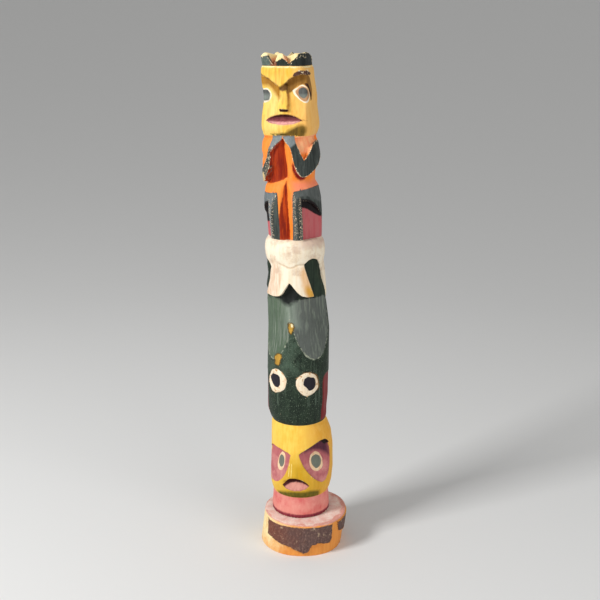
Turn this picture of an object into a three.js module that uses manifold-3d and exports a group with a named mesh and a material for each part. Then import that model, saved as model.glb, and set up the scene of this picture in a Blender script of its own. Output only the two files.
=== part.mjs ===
// A table-top totem pole: one carved and painted wooden pole standing on a slice of a small log.
// Units are millimetres, +Z is up, the figures face -Y. The origin is on the underside of the base,
// under the middle of the whole object's box.
//
// The pole is carved from one round billet. From the top down it shows a square head with a notched
// crown, a seated figure with raised paws, a pale band with a whale's tail hanging from it, the
// whale's body and snout, and a round head on a plain collar. All carving is placed on the pole by
// angle (degrees from the front, positive towards +X), height and distance from the pole's axis.
import * as THREE from "three";
import { mergeVertices } from "three/addons/utils/BufferGeometryUtils.js";
import Module from "manifold-3d";

const wasm = await Module();
wasm.setup();

// ---------------------------------------------------------------- driving dimensions
const BASE_TOP = 33; // thickness of the log slice
const COLLAR_TOP = 54; // underside of the lower head
const LOWER_HEAD_TOP = 128; // where the whale's snout ends
const BAND_TOP = 301; // top of the pale band, soles of the seated figure
const NECK = 392; // under the top head's chin
const CROWN_FOOT = 449.5; // top of the square head
const POLE_TOP = 460.5; // tips of the crown

const FOOT = { x: -4.9, y: 2.8 }; // where the pole's axis meets the base
const LEAN = -10.3; // sideways drift of the axis from foot to crown
// Cut by eye, the pole also wanders off that straight line and turn: [height, shift, degrees].
const WANDER = [
  [BASE_TOP, -0.5, 0],
  [COLLAR_TOP, 0, -2],
  [72, 1.2, -4],
  [84, 2.2, -4],
  [110, 2.4, -4],
  [123, 0.4, -2.5],
  [136, -1.5, 0],
  [150, -0.5, 0],
  [172, 0.1, 0],
  [190, 1.5, 0],
  [214, 1.7, 0],
  [230, 0.5, 0],
  [245, -0.5, 0],
  [262, 0.5, 0],
  [290, 0.1, 0],
  [310, 0.3, 0],
  [324, -0.6, 0],
  [350, -1.1, 0],
  [364, -0.4, 0],
  [377, -1.7, 0],
  [388, -1.7, 0],
  [NECK + 2, -0.9, 0],
  [412, -0.9, 0],
  [424, -0.2, 0],
  [431, -0.6, 0],
  [437, -2.1, 0],
  [CROWN_FOOT, -2.5, 0],
  [POLE_TOP, -3.2, 0],
];
const TWIST = 5; // degrees the carving has turned at the foot, none at the neck

const SIDES = 42; // facets round the pole
const BASE_SIDES = 52; // facets round the log slice
const OUTER = 44; // beyond every surface of the pole
const INNER = 14; // well inside every recess

// ---------------------------------------------------------------- small helpers
const { clamp, degToRad: rad, lerp } = THREE.MathUtils;
const shapeOf = (points) => new THREE.Shape(points.map(([x, y]) => new THREE.Vector2(x, y)));

/** A closed manifold-3d solid from a closed three.js geometry. */
function solid(geometry) {
  const bare = geometry.clone();
  for (const name of ["normal", "uv"]) bare.deleteAttribute(name);
  const merged = mergeVertices(bare, 1e-4);
  return new wasm.Manifold(
    new wasm.Mesh({
      numProp: 3,
      vertProperties: merged.attributes.position.array,
      triVerts: new Uint32Array(merged.index.array),
    }),
  );
}

/** A three.js geometry from a manifold-3d solid. */
function geometryOf(made) {
  const m = made.getMesh();
  const position = new Float32Array(m.numVert * 3);
  for (let i = 0; i < m.numVert; i++)
    position.set(m.vertProperties.subarray(i * m.numProp, i * m.numProp + 3), i * 3);
  return new THREE.BufferGeometry()
    .setAttribute("position", new THREE.BufferAttribute(position, 3))
    .setIndex(new THREE.BufferAttribute(m.triVerts, 1));
}

/** Moves every vertex of a geometry by a function of its place. */
function reshape(geometry, move) {
  const p = geometry.getAttribute("position");
  const at = new THREE.Vector3();
  for (let i = 0; i < p.count; i++) {
    move(at.fromBufferAttribute(p, i));
    p.setXYZ(i, at.x, at.y, at.z);
  }
  return geometry;
}

/** How far a section with rounded corners reaches at an angle, against its half width. */
function squareness(angle, power) {
  const c = Math.abs(Math.cos(angle)) ** power;
  const s = Math.abs(Math.sin(angle)) ** power;
  return (c + s) ** (-1 / power);
}

/** A turned block: a profile of [half width, height] points, round at power 2 and squarer above.
 * Blocks that are joined start their facets at different angles, so that no two edges coincide. */
function turned(profile, { power = 2, start = 0, sides = SIDES } = {}) {
  const closed = [[0, profile[0][1]], ...profile, [0, profile.at(-1)[1]]];
  const points = closed.map(([r, z]) => new THREE.Vector2(r, z));
  const g = new THREE.LatheGeometry(points, sides, rad(start)).rotateX(Math.PI / 2);
  return reshape(g, (p) => {
    const grow = squareness(Math.atan2(p.x, p.y), power);
    p.x *= grow;
    p.y *= grow;
  });
}

/** Bends a geometry laid out as (angle in degrees, height, radius) round the pole's axis. */
const wrapped = (geometry) =>
  reshape(geometry, (p) => {
    const [angle, height, radius] = [rad(p.x), p.y, p.z];
    p.set(radius * Math.sin(angle), -radius * Math.cos(angle), height);
  });

/** A closed outline of [angle, height] runs: each run is a smooth curve, and runs meet at corners. */
function outline(...runs) {
  const shape = new THREE.Shape();
  shape.moveTo(...runs[0][0]);
  runs.forEach((run, i) => {
    if (i > 0) shape.lineTo(...run[0]);
    if (run.length > 2) shape.splineThru(run.slice(1).map(([a, z]) => new THREE.Vector2(a, z)));
    else if (run.length === 2) shape.lineTo(...run[1]);
  });
  return shape;
}

/** An outline drawn on the +X side of the front, or mirrored to the other side with side -1. */
const outlineOn = (side, ...runs) => outline(...runs.map((run) => run.map(([a, z]) => [side * a, z])));

/** Everything that lies over an outline, from deep in the pole to beyond its surface. */
function over(shape, inner = INNER, outer = OUTER) {
  const g = new THREE.ExtrudeGeometry(shape, {
    depth: outer - inner,
    steps: 4,
    curveSegments: 1,
    bevelEnabled: false,
  });
  return solid(wrapped(g.translate(0, 0, inner)));
}

/** Everything over a stretch of the pole between two angles and two heights. */
function stretch(from, to, low, high) {
  const wide = Math.abs(to - from);
  const g = new THREE.BoxGeometry(wide, high - low, OUTER - INNER, Math.ceil(wide / 20));
  return solid(wrapped(g.translate((from + to) / 2, (low + high) / 2, (INNER + OUTER) / 2)));
}

/** Everything outside a flat knife cut: a plane at a distance from the axis at one height, facing
 * an angle, its slope being how far it moves outward for each millimetre down. */
function beyond({ angle, height, distance, slope = 0 }) {
  const far = 200;
  const g = new THREE.BoxGeometry(far, far, far)
    .translate(0, -far / 2, 0)
    .rotateX(-Math.atan(slope))
    .translate(0, -distance, height)
    .rotateZ(rad(angle));
  return solid(g);
}

/** A chip carved out with a knife: a stop cut straight in along an outline, and a flat floor. */
const chip = (shape, floor) => over(shape).intersect(beyond(floor));

/** An oval hollow that follows the round of the pole. Its floor climbs outward as it runs down, by
 * runOut millimetres for each millimetre of height. */
function hollow({ angle, height, halfAngle, halfHeight, radius, depth, runOut = 0 }) {
  const g = new THREE.SphereGeometry(1, 20, 16).scale(halfAngle, halfHeight, depth);
  reshape(g, (p) => {
    p.z -= runOut * p.y;
  });
  return solid(wrapped(g.translate(angle, height, radius)));
}

/** A straight V groove in the pole's front. Top and foot give its deepest line as x, height and
 * distance from the axis, and the flare how far each wall opens for each millimetre outward. */
function groove(top, foot, flare) {
  const vee = shapeOf([[0, 0], [-1, -1], [1, -1]]);
  const g = new THREE.ExtrudeGeometry(vee, { depth: 1, bevelEnabled: false });
  return solid(
    reshape(g, (p) => {
      const distance = lerp(foot.distance, top.distance, p.z);
      const reach = OUTER - distance;
      const x = lerp(foot.x, top.x, p.z) + p.x * flare * reach;
      p.set(x, p.y * reach - distance, lerp(foot.height, top.height, p.z));
    }),
  );
}

/** A nose: a flat-fronted wedge that leans out from its root under the brow to its tip, where it
 * is cut off square. Bridge and wing are its half widths in front and behind. */
function noseWedge({ top, tip, rootAt, tipAt, bridge, wing }) {
  const buried = 6;
  const section = shapeOf([[-wing, buried], [-bridge, 0], [bridge, 0], [wing, buried]]);
  const g = new THREE.ExtrudeGeometry(section, { depth: 1, bevelEnabled: false });
  return solid(reshape(g, (p) => p.set(p.x, p.y - lerp(tipAt, rootAt, p.z), lerp(tip, top, p.z))));
}

// ---------------------------------------------------------------- top head and crown
const HEAD_POWER = 4; // the top head is nearly square

function topHead() {
  const profile = [
    [21.2, NECK - 2],
    [22.2, NECK + 1.6],
    [23.2, NECK + 4.5],
    [23.4, 400.5],
    [22.8, 408],
    [21.7, 416],
    [21.4, 424],
    [21.3, 438],
    [21.1, CROWN_FOOT - 3.4],
    [20.6, CROWN_FOOT - 1],
    [19, CROWN_FOOT - 0.2],
  ];
  const block = solid(turned(profile, { power: HEAD_POWER, start: 1 }));

  // The brow is a shallow V, lowest a little to the left. Under it both sides of the face are cut
  // back to flat planes that run out again at the mouth and at the temples.
  const brow = {
    "-1": [[0, 433.4], [7, 432.8], [13, 433.2], [18, 435], [25, 437.6], [35, 439.9], [60, 442.6]],
    1: [[0, 433.4], [9.3, 436], [20, 439.4], [30.5, 441.4], [42, 442.6], [60, 443]],
  };
  const cheek = (side) =>
    chip(
      outlineOn(
        side,
        brow[side],
        [brow[side].at(-1), [72, 434], [76, 420], [72, 398]],
        [[72, 398], [36, 396]],
        [[36, 396], [0, 396]],
      ),
      { angle: side * 9, height: 434, distance: 17.6, slope: 0.17 },
    );
  const nose = noseWedge({ top: 434, tip: 413.8, rootAt: 20.2, tipAt: 24.4, bridge: 3.4, wing: 5.6 });

  // The mouth turns down at its corners. It is deep under the top lip and runs out below.
  const mouth = chip(
    outline(
      [[-40, 404.2], [-20, 408.6], [0, 409.8], [20, 408.6], [40, 404.6]],
      [[40, 404.6], [22, 402.2], [0, 401.3], [-22, 402.2], [-40, 404.2]],
    ),
    { angle: 0, height: 409.6, distance: 17.6, slope: 0.62 },
  );
  return block.subtract(cheek(-1)).subtract(cheek(1)).add(nose).subtract(mouth);
}

/** The crown: a ring of points parted by V notches, whose floors climb towards the middle. */
function crown() {
  const profile = [
    [19.6, CROWN_FOOT - 2],
    [19.8, CROWN_FOOT + 0.5],
    [20.4, POLE_TOP - 2.9],
    [18.9, POLE_TOP],
    [5, POLE_TOP - 3],
  ];
  const ring = solid(turned(profile, { power: HEAD_POWER, start: 3 }));
  const climb = 0.36;
  const pastMiddle = 7;
  const rim = 22;
  const notch = ({ angle, left, right, floor = CROWN_FOOT }) => {
    // left and right say how far each wall opens for each millimetre up
    const vee = shapeOf([[0, 0], [-20 * left, 20], [20 * right, 20]]);
    const g = new THREE.ExtrudeGeometry(vee, { depth: 40, bevelEnabled: false })
      .rotateX(Math.PI / 2)
      .translate(0, pastMiddle, floor);
    reshape(g, (p) => {
      p.z += climb * (p.y + rim);
    });
    return solid(g.rotateZ(rad(angle)));
  };
  // Narrow points stand over the middle of each side and broad ones over the corners.
  const notches = [
    { angle: -19, left: 0.5, right: 0.5 },
    { angle: 21, left: 0.52, right: 0.5 },
    { angle: 114, left: 0.6, right: 1.2, floor: CROWN_FOOT + 2 },
    { angle: 161, left: 0.6, right: 0.6 },
    { angle: 199, left: 0.6, right: 0.6 },
    { angle: 253, left: 1.7, right: 0.5, floor: CROWN_FOOT + 2 },
    { angle: 287, left: 0.5, right: 1.7, floor: CROWN_FOOT + 4 },
  ];
  return notches.reduce((left, place) => left.subtract(notch(place)), ring);
}

// ---------------------------------------------------------------- seated figure
const BODY_POWER = 2.2; // the figure's body is a little squarer than round

function seatedFigure() {
  // The trunk behind the limbs is drawn in at the neck and the waist. The limbs stand out from it.
  const trunkProfile = [
    [20.6, BAND_TOP - 3],
    [21.5, 326],
    [20.4, 346],
    [20.2, 356],
    [22.2, 372],
    [21.4, 385],
    [19.4, NECK + 1],
  ];
  const legProfile = [
    [24.3, BAND_TOP - 0.6],
    [25.6, 324],
    [25.2, 336],
    [23.4, 346],
    [19, 354],
  ];
  const armProfile = [
    [24.6, 346],
    [26.2, 358],
    [25.8, 376],
    [24.2, 386],
    [21.2, NECK - 0.4],
  ];
  const trunk = solid(turned(trunkProfile, { power: BODY_POWER, start: 5 }));
  const legStock = solid(turned(legProfile, { power: BODY_POWER, start: 2 }));
  const armStock = solid(turned(armProfile, { power: BODY_POWER, start: 2 }));

  // Arms: each paw lies under the chin, the forearm drops to the elbow and the upper arm climbs to
  // the shoulder. The two sides were cut by eye and differ.
  const rightArm = outline(
    [[-1, NECK + 4], [-1, 389.5]],
    [[-1, 389.5], [6, 385.4], [12, 383.4], [16, 378], [17.6, 370], [21.4, 363], [28.4, 358]],
    [[28.4, 358], [36, 356], [45, 357.4], [56, 360], [70, 364], [92, 370], [108, 374], [114, 380]],
    [[114, 380], [108, 386], [90, 387], [72, 385.4], [62, 382], [55, 378.6], [40, 371.6]],
    [[40, 371.6], [33.6, 379.2], [28, 385.6], [23, NECK + 4]],
  );
  const leftArm = outline(
    [[-3, NECK + 4], [-25, NECK + 4]],
    [[-25, NECK + 4], [-29, 385], [-33.5, 380.4], [-37, 375], [-44, 370], [-55, 365.6], [-67, 362]],
    [[-67, 362], [-78, 366], [-88, 373], [-98, 381], [-108, 384], [-114, 380]],
    [[-114, 380], [-108, 372], [-98, 363], [-86, 355.4], [-74, 351.4], [-62, 350.2], [-52, 351.6]],
    [[-52, 351.6], [-44, 356], [-35, 362.8], [-29.6, 369.6], [-27, 375], [-24, 380], [-3, 388.8]],
  );
  const arms = over(rightArm).add(over(leftArm)).intersect(armStock);

  // Above the left arm and round the back the shoulders are left nearly as full as the arms.
  const shoulderProfile = [
    [20.6, 363],
    [24, 370],
    [25, 378],
    [24.3, 385],
    [21.6, NECK - 0.2],
  ];
  const shoulderStock = solid(turned(shoulderProfile, { power: BODY_POWER, start: 4 }));
  const shoulders = shoulderStock.intersect(stretch(-246, -26, 362, NECK));

  // Legs: a thigh wraps round each side and a shin drops from the knee. The back is left full.
  const soles = BAND_TOP - 2;
  const leg = (side, ankle, underThigh) =>
    outlineOn(
      side,
      [[-2, soles], [-2, 353.2]],
      [[-2, 353.2], [20, 353]],
      [[20, 353], [50, 352.8]],
      [[50, 352.8], [75, 352.6]],
      [[75, 352.6], [100, 352.4]],
      underThigh,
      [[ankle, soles]],
    );
  const rightLeg = leg(1, 32, [[100, 317], [84, 323], [66, 330], [47, 335.4], [33, 336]]);
  const leftLeg = leg(-1, 44, [[100, 316], [84, 321.6], [70, 327], [56, 331.4], [42, 333]]);
  const legs = over(rightLeg).add(over(leftLeg));
  let made = trunk.add(arms).add(shoulders).add(legStock);

  // The flank behind each shin is one flat cut, deep at the shin and running out at the side.
  for (const side of [1, -1]) {
    const flank = stretch(side * 25, side * 99, BAND_TOP - 5, 340);
    const cut = beyond({ angle: side * 53, height: 318, distance: 20.4 });
    made = made.subtract(flank.intersect(cut).subtract(legs));
  }

  // The chest and the gap between the shins are V grooves. The chest ends above the belly.
  const chest = groove(
    { x: -0.6, height: NECK, distance: 18.5 },
    { x: 0.6, height: 350, distance: 16.8 },
    1.6,
  );
  const betweenArms = outline(
    [[-2, 388.4], [-23, 379.6]],
    [[-23, 379.6], [-26, 374], [-28.6, 369], [-34, 362], [-42, 356]],
    [[-42, 356], [-34, 351.4], [-13, 353.4], [2, 356]],
    [[2, 356], [24, 355.6]],
    [[24, 355.6], [17, 366], [14.5, 378], [10, 384]],
  );
  const betweenShins = groove(
    { x: 0.6, height: 352, distance: 20.2 },
    { x: 0.6, height: BAND_TOP - 4, distance: 19.4 },
    1.15,
  );
  return made.subtract(chest.intersect(over(betweenArms))).subtract(betweenShins);
}

// ---------------------------------------------------------------- pale band and whale's tail
function bandAndTail() {
  const profile = [
    [28.3, 244.6],
    [28.2, 251],
    [26.9, 264],
    [25.7, 279],
    [27, 284.5],
    [27.4, 291],
    [26.4, 297],
    [23.6, BAND_TOP],
  ];
  const pale = solid(turned(profile, { start: 1 }));

  // The tail hangs from the band and flares to its two tips. Beside it the wood is cut back under an
  // arch, which comes down again along the edge of the plain back.
  const rightWellFloor = 23;
  const leftWellFloor = 26.2; // much shallower
  const rightWell = outline(
    [[52, 240], [50, 249.6]],
    [[50, 249.6], [41, 263], [34.4, 273], [32, 279.6]],
    [[32, 279.6], [41, 283.2], [52, 284.2], [65, 281.8], [74, 277]],
    [[74, 277], [83, 263], [97, 244]],
    [[97, 244], [99, 240]],
    [[99, 240], [75, 240]],
  );
  const leftWell = outline(
    [[-58, 240], [-56.5, 249.6]],
    [[-56.5, 249.6], [-52.5, 256.5], [-49.5, 263], [-46, 270.5], [-43, 275.8]],
    [[-43, 275.8], [-52, 279], [-64, 280.6], [-80, 280.4], [-96, 276]],
    [[-96, 276], [-106, 262], [-114, 244]],
    [[-114, 244], [-115, 240]],
    [[-115, 240], [-85, 240]],
  );
  const underTail = over(
    outline(
      [[-64, 241], [-56.5, 249.8]],
      [[-56.5, 249.8], [-26, 249.2], [-16, 251.4], [-8, 257], [0, 263.2]],
      [[0, 263.2], [10, 257.6], [20, 252.6], [31, 249.8], [50, 249.8]],
      [[50, 249.8], [58, 241]],
      [[58, 241], [20, 241], [-20, 241]],
    ),
  );
  return pale
    .subtract(over(rightWell, rightWellFloor))
    .subtract(over(leftWell, leftWellFloor))
    .subtract(underTail);
}

// ---------------------------------------------------------------- whale's body and snout
function whale() {
  const profile = [
    [22.5, LOWER_HEAD_TOP - 5],
    [24.2, LOWER_HEAD_TOP - 3],
    [26.4, LOWER_HEAD_TOP + 1],
    [27.7, 137],
    [28.5, 148],
    [28.8, 172],
    [28.6, 215],
    [27.9, 240],
    [23.8, 266],
    [23.4, 289],
  ];
  // Two long scoops run down from the tail and leave the face standing in a point between them.
  // A shorter hollow sets off the fork of the tail.
  const scoops = [
    { angle: 45, height: 250, halfAngle: 50, halfHeight: 62, radius: 29.5, depth: 6, runOut: 0.02 },
    { angle: -46, height: 248, halfAngle: 50, halfHeight: 62, radius: 29.5, depth: 6, runOut: 0.02 },
    { angle: 1, height: 262, halfAngle: 26, halfHeight: 19, radius: 27, depth: 5 },
  ];
  // A flat panel lies on each side of the snout.
  const panel = (side) =>
    chip(
      outlineOn(
        side,
        [[61, 134], [61, 168], [70, 173.4], [110, 172]],
        [[110, 172], [110, 134]],
      ),
      { angle: side * 88, height: 155, distance: 27.1 },
    );
  const body = scoops.reduce((left, scoop) => left.subtract(hollow(scoop)), solid(turned(profile)));
  return body.subtract(panel(1)).subtract(panel(-1));
}

// ---------------------------------------------------------------- lower head and collar
function lowerHead() {
  const profile = [
    [26, COLLAR_TOP - 1],
    [27.8, COLLAR_TOP + 3],
    [29.2, 64],
    [29.8, 76],
    [29.2, 100],
    [28.3, 114],
    [26.6, 122],
    [24.6, LOWER_HEAD_TOP],
    [23, LOWER_HEAD_TOP + 1],
  ];
  const block = solid(turned(profile, { start: 3 }));

  // Each eye lies in a flat cut that is deepest under the brow and runs out on the cheek.
  // The left brow was drawn flatter and lower than the right one.
  const rightSocket = outline(
    [[8, 99], [20, 103.2], [33, 106.5], [45, 109.4], [56, 110.6]],
    [[56, 110.6], [66, 110], [76, 106], [79, 97]],
    [[79, 97], [77, 86], [73, 77], [66, 69.6]],
    [[66, 69.6], [56, 68.4], [44, 71.6], [32, 77.4], [21, 84], [13, 91.4]],
  );
  const leftSocket = outline(
    [[-7, 98], [-14, 99.9], [-24, 101.2], [-36, 102.2], [-50, 102]],
    [[-50, 102], [-64, 100.4], [-75, 97], [-79, 88]],
    [[-79, 88], [-77, 76], [-64, 65]],
    [[-64, 65], [-46, 65.6], [-32, 69], [-20, 76], [-12, 87]],
  );
  const socket = (shape, side) =>
    chip(shape, { angle: side * 44, height: 98, distance: 23.4, slope: 0.15 });
  const nose = noseWedge({ top: 98, tip: 75.5, rootAt: 28.8, tipAt: 30.8, bridge: 3, wing: 7.4 });
  const mouth = chip(
    outline(
      [[-26, 66.6], [-18, 71], [-6, 74.4], [8, 74.4], [20, 71.4], [29, 67]],
      [[29, 67], [20, 63.4], [4, 61.4], [-14, 62.6], [-26, 66.6]],
    ),
    { angle: 2, height: 74, distance: 23.4, slope: 0.42 },
  );
  return block
    .subtract(socket(rightSocket, 1))
    .subtract(socket(leftSocket, -1))
    .add(nose)
    .subtract(mouth);
}

function collar() {
  const profile = [
    [27.5, BASE_TOP],
    [27.4, BASE_TOP + 7],
    [26.8, COLLAR_TOP - 6],
    [26.3, COLLAR_TOP + 2],
  ];
  return solid(turned(profile, { start: 6 }));
}

/** How far the pole has wandered sideways, and turned, at a height. */
function wander(z) {
  const above = WANDER.findIndex(([height], i) => i > 0 && height >= z);
  const [lower, upper] = above < 0 ? WANDER.slice(-2) : WANDER.slice(above - 1, above + 1);
  const part = clamp((z - lower[0]) / (upper[0] - lower[0]), 0, 1);
  return [1, 2].map((column) => lerp(lower[column], upper[column], part));
}

/** The whole pole: its figures, drifted and turned as the billet grew and was carved. */
function poleGeometry() {
  const carved = [crown, topHead, seatedFigure, bandAndTail, whale, lowerHead, collar]
    .map((figure) => figure())
    .reduce((all, figure) => all.add(figure));
  return reshape(geometryOf(carved), (p) => {
    const [shift, extra] = wander(p.z);
    const drift = (LEAN * (p.z - BASE_TOP)) / (POLE_TOP - BASE_TOP) + shift;
    const turn = rad(TWIST * Math.max(0, (NECK - p.z) / (NECK - BASE_TOP)) + extra);
    const [c, s] = [Math.cos(turn), Math.sin(turn)];
    p.set(c * p.x - s * p.y + FOOT.x + drift, s * p.x + c * p.y + FOOT.y, p.z);
  });
}

// ---------------------------------------------------------------- base: a slice of a small log
const LOG = {
  across: 38.9, // half widths of the bare wood
  deep: 38,
  middle: { x: -1.9, y: 1.2 }, // where its own middle stands
  turn: 15, // degrees its longer axis is turned from the front
  slant: 2, // how far the slice's top and bottom are shifted sideways, each its own way
  bark: 1.6, // thickness of the bark
};

/** The slice as a plain drum of the bare wood, or grown by the bark's thickness. */
function slice(grow) {
  const g = turned([[1, 0], [1, 1]], { sides: BASE_SIDES });
  reshape(g, (p) => {
    // the log isn't quite round
    const angle = Math.atan2(p.x, p.y);
    const r = 1 + 0.012 * Math.sin(3 * angle + 0.6) + 0.008 * Math.sin(5 * angle + 2.1);
    const shift = LOG.slant * (2 * p.z - 1);
    p.set(p.x * r * (LOG.across + grow) + shift, p.y * r * (LOG.deep + grow), p.z * BASE_TOP);
  });
  return solid(g.rotateZ(rad(LOG.turn)));
}

/** The log slice, with its bark left in three patches: one across the front, two behind. */
function baseGeometry() {
  const log = slice(LOG.bark);
  const patches = [
    outline(
      [[-49, BASE_TOP - 3], [-46, 15]],
      [[-46, 15], [-32.4, 13.2], [-16, 10.3], [0, 7.4], [9, 4.4], [15, 2.8]],
      [[15, 2.8], [21.6, 5.2], [27, 11.5]],
      [[27, 11.5], [37, 12.2], [52, 11]],
      [[52, 11], [56.4, 13.6], [57, BASE_TOP - 2.2]],
      [[35, BASE_TOP - 2.4], [15, BASE_TOP - 2.8], [-7, BASE_TOP - 2.8], [-30, BASE_TOP - 3]],
    ),
    outline(
      [[65.5, BASE_TOP - 2.6], [69, 19.6]],
      [[69, 19.6], [81, 16.6], [116, 9]],
      [[116, 9], [128, BASE_TOP - 3]],
      [[98, BASE_TOP - 3]],
    ),
    outline(
      [[150, 4], [188, 3]],
      [[188, 3], [226, 4]],
      [[226, 4], [238, 16], [232, BASE_TOP - 2.6]],
      [[192, BASE_TOP - 2], [152, BASE_TOP - 2.2]],
    ),
  ];
  const patchInner = 30;
  const patchOuter = 80;
  const whole = patches.reduce(
    (all, patch) => all.add(over(patch, patchInner, patchOuter).intersect(log)),
    slice(0),
  );
  return geometryOf(whole).translate(LOG.middle.x, LOG.middle.y, 0);
}

// ---------------------------------------------------------------- the object
const paintedWood = new THREE.MeshStandardMaterial({ color: 0x35463b, roughness: 0.62, metalness: 0 });
const logWood = new THREE.MeshStandardMaterial({ color: 0xc98a45, roughness: 0.75, metalness: 0 });

function piece(name, geometry, material) {
  const mesh = new THREE.Mesh(geometry, material);
  mesh.name = name;
  return mesh;
}

const totemPole = new THREE.Group();
totemPole.add(piece("carved_pole", poleGeometry(), paintedWood));
totemPole.add(piece("log_slice_base", baseGeometry(), logWood));

// The origin lies under the middle of the whole object's box.
const middle = new THREE.Box3().setFromObject(totemPole, true).getCenter(new THREE.Vector3());
for (const mesh of totemPole.children) mesh.geometry.translate(-middle.x, -middle.y, 0);

export default totemPole;
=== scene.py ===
# A table-top totem pole: one carved and hand-painted wooden pole that stands on a slice of a small
# log with some of its bark left on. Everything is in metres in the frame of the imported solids, the
# figures face -Y, and the sizes given in millimetres are turned to metres where a mesh is made.
import math

import bmesh
import bpy
import numpy as np
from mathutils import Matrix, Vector


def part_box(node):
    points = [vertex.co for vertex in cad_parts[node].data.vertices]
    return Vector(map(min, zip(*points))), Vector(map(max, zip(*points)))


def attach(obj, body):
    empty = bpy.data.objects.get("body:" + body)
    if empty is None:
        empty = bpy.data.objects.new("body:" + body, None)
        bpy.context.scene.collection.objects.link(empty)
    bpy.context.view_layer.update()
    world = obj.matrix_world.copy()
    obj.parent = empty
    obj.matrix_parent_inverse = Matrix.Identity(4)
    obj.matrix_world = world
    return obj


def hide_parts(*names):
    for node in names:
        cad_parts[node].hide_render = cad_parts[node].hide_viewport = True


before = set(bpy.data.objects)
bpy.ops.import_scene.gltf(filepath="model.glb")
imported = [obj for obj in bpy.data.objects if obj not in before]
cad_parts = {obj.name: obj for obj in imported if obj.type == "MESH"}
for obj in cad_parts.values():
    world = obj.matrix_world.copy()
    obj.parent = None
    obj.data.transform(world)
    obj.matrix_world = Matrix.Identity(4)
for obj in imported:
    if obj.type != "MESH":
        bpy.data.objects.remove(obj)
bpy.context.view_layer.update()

# ---------------------------------------------------------------- viewpoint
# The pole is seen from a little to its left and from above the crown's height, as it stands on a
# table in front of somebody.
EYE_AT = (0.21618, -0.82279, 0.485)
LOOKING_ALONG = (-0.2488, 0.9285, -0.2756)
camera = bpy.data.objects.new("camera", bpy.data.cameras.new("camera"))
bpy.context.scene.collection.objects.link(camera)
camera.location = EYE_AT
camera.rotation_euler = Vector(LOOKING_ALONG).to_track_quat("-Z", "Y").to_euler()
camera.data.lens = 58.1
camera.data.sensor_width = 36
bpy.context.scene.camera = camera

# ---------------------------------------------------------------- the carved pole
# One round billet of soft wood, carved from end to end with a knife and a gouge and painted by hand
# with thin matt paints. From the top down: a square head with a notched crown, a seated figure with
# raised paws, a pale band with a whale's tail, the whale's body, and a round head on a collar.
MM = 0.001
BASE_TOP, COLLAR_TOP, SNOUT_FOOT, BAND_FOOT, BAND_TOP = 33.0, 54.0, 126.6, 244.6, 301.1
NECK, CROWN_FOOT, POLE_TOP = 392.0, 449.6, 460.5
FOOT = (-3.224, 1.11)  # where the pole's axis meets the log slice
LEAN, TWIST = -10.3, 5.0  # sideways drift up to the crown, and degrees turned down to the foot
SKIN = 26.0  # the radius at which painted outlines are measured
FAR = 6.0  # no reach is measured farther than this from a border
OPEN = 9  # takes a zone past the end of the pole
POLE_FACES, POLE_PITCH = 190000, 0.62  # most triangles, and the size of the faces that are carved


def settle(piece):
    """Turns a piece's modifiers into its plain mesh."""
    ready = piece.evaluated_get(bpy.context.evaluated_depsgraph_get())
    made = bpy.data.meshes.new_from_object(ready)
    piece.modifiers.clear()
    piece.data = made


def fine_copy(node, name, pitch):
    """A closed copy of a solid in small even faces, to take fine carving."""
    mesh = node.data.copy()
    joined = bmesh.new()
    joined.from_mesh(mesh)
    bmesh.ops.remove_doubles(joined, verts=joined.verts, dist=0.002 * MM)
    joined.to_mesh(mesh)
    joined.free()
    piece = bpy.data.objects.new(name, mesh)
    bpy.context.scene.collection.objects.link(piece)
    even = piece.modifiers.new("even faces", "REMESH")
    even.mode = "VOXEL"
    even.voxel_size = pitch * MM
    settle(piece)
    return piece


def melt_flat_faces(piece, most):
    """Takes faces away where the surface is flat, down to a number of triangles."""
    fewer = piece.modifiers.new("fewer faces where it is flat", "DECIMATE")
    fewer.ratio = min(1.0, most / (2 * len(piece.data.polygons)))
    settle(piece)


def points_of(mesh):
    """Every vertex's place, in millimetres."""
    at = np.empty(len(mesh.vertices) * 3)
    mesh.vertices.foreach_get("co", at)
    return at.reshape(-1, 3) / MM


def facing_of(mesh):
    """The way that the surface faces at every vertex."""
    out = np.empty(len(mesh.vertices) * 3)
    mesh.vertices.foreach_get("normal", out)
    return out.reshape(-1, 3)


def move_points(mesh, at, low, high):
    """Puts the vertices at new places, kept inside a box given in metres."""
    at = np.clip(at * MM, np.array(low), np.array(high))
    mesh.vertices.foreach_set("co", at.ravel())
    mesh.update()


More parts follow.
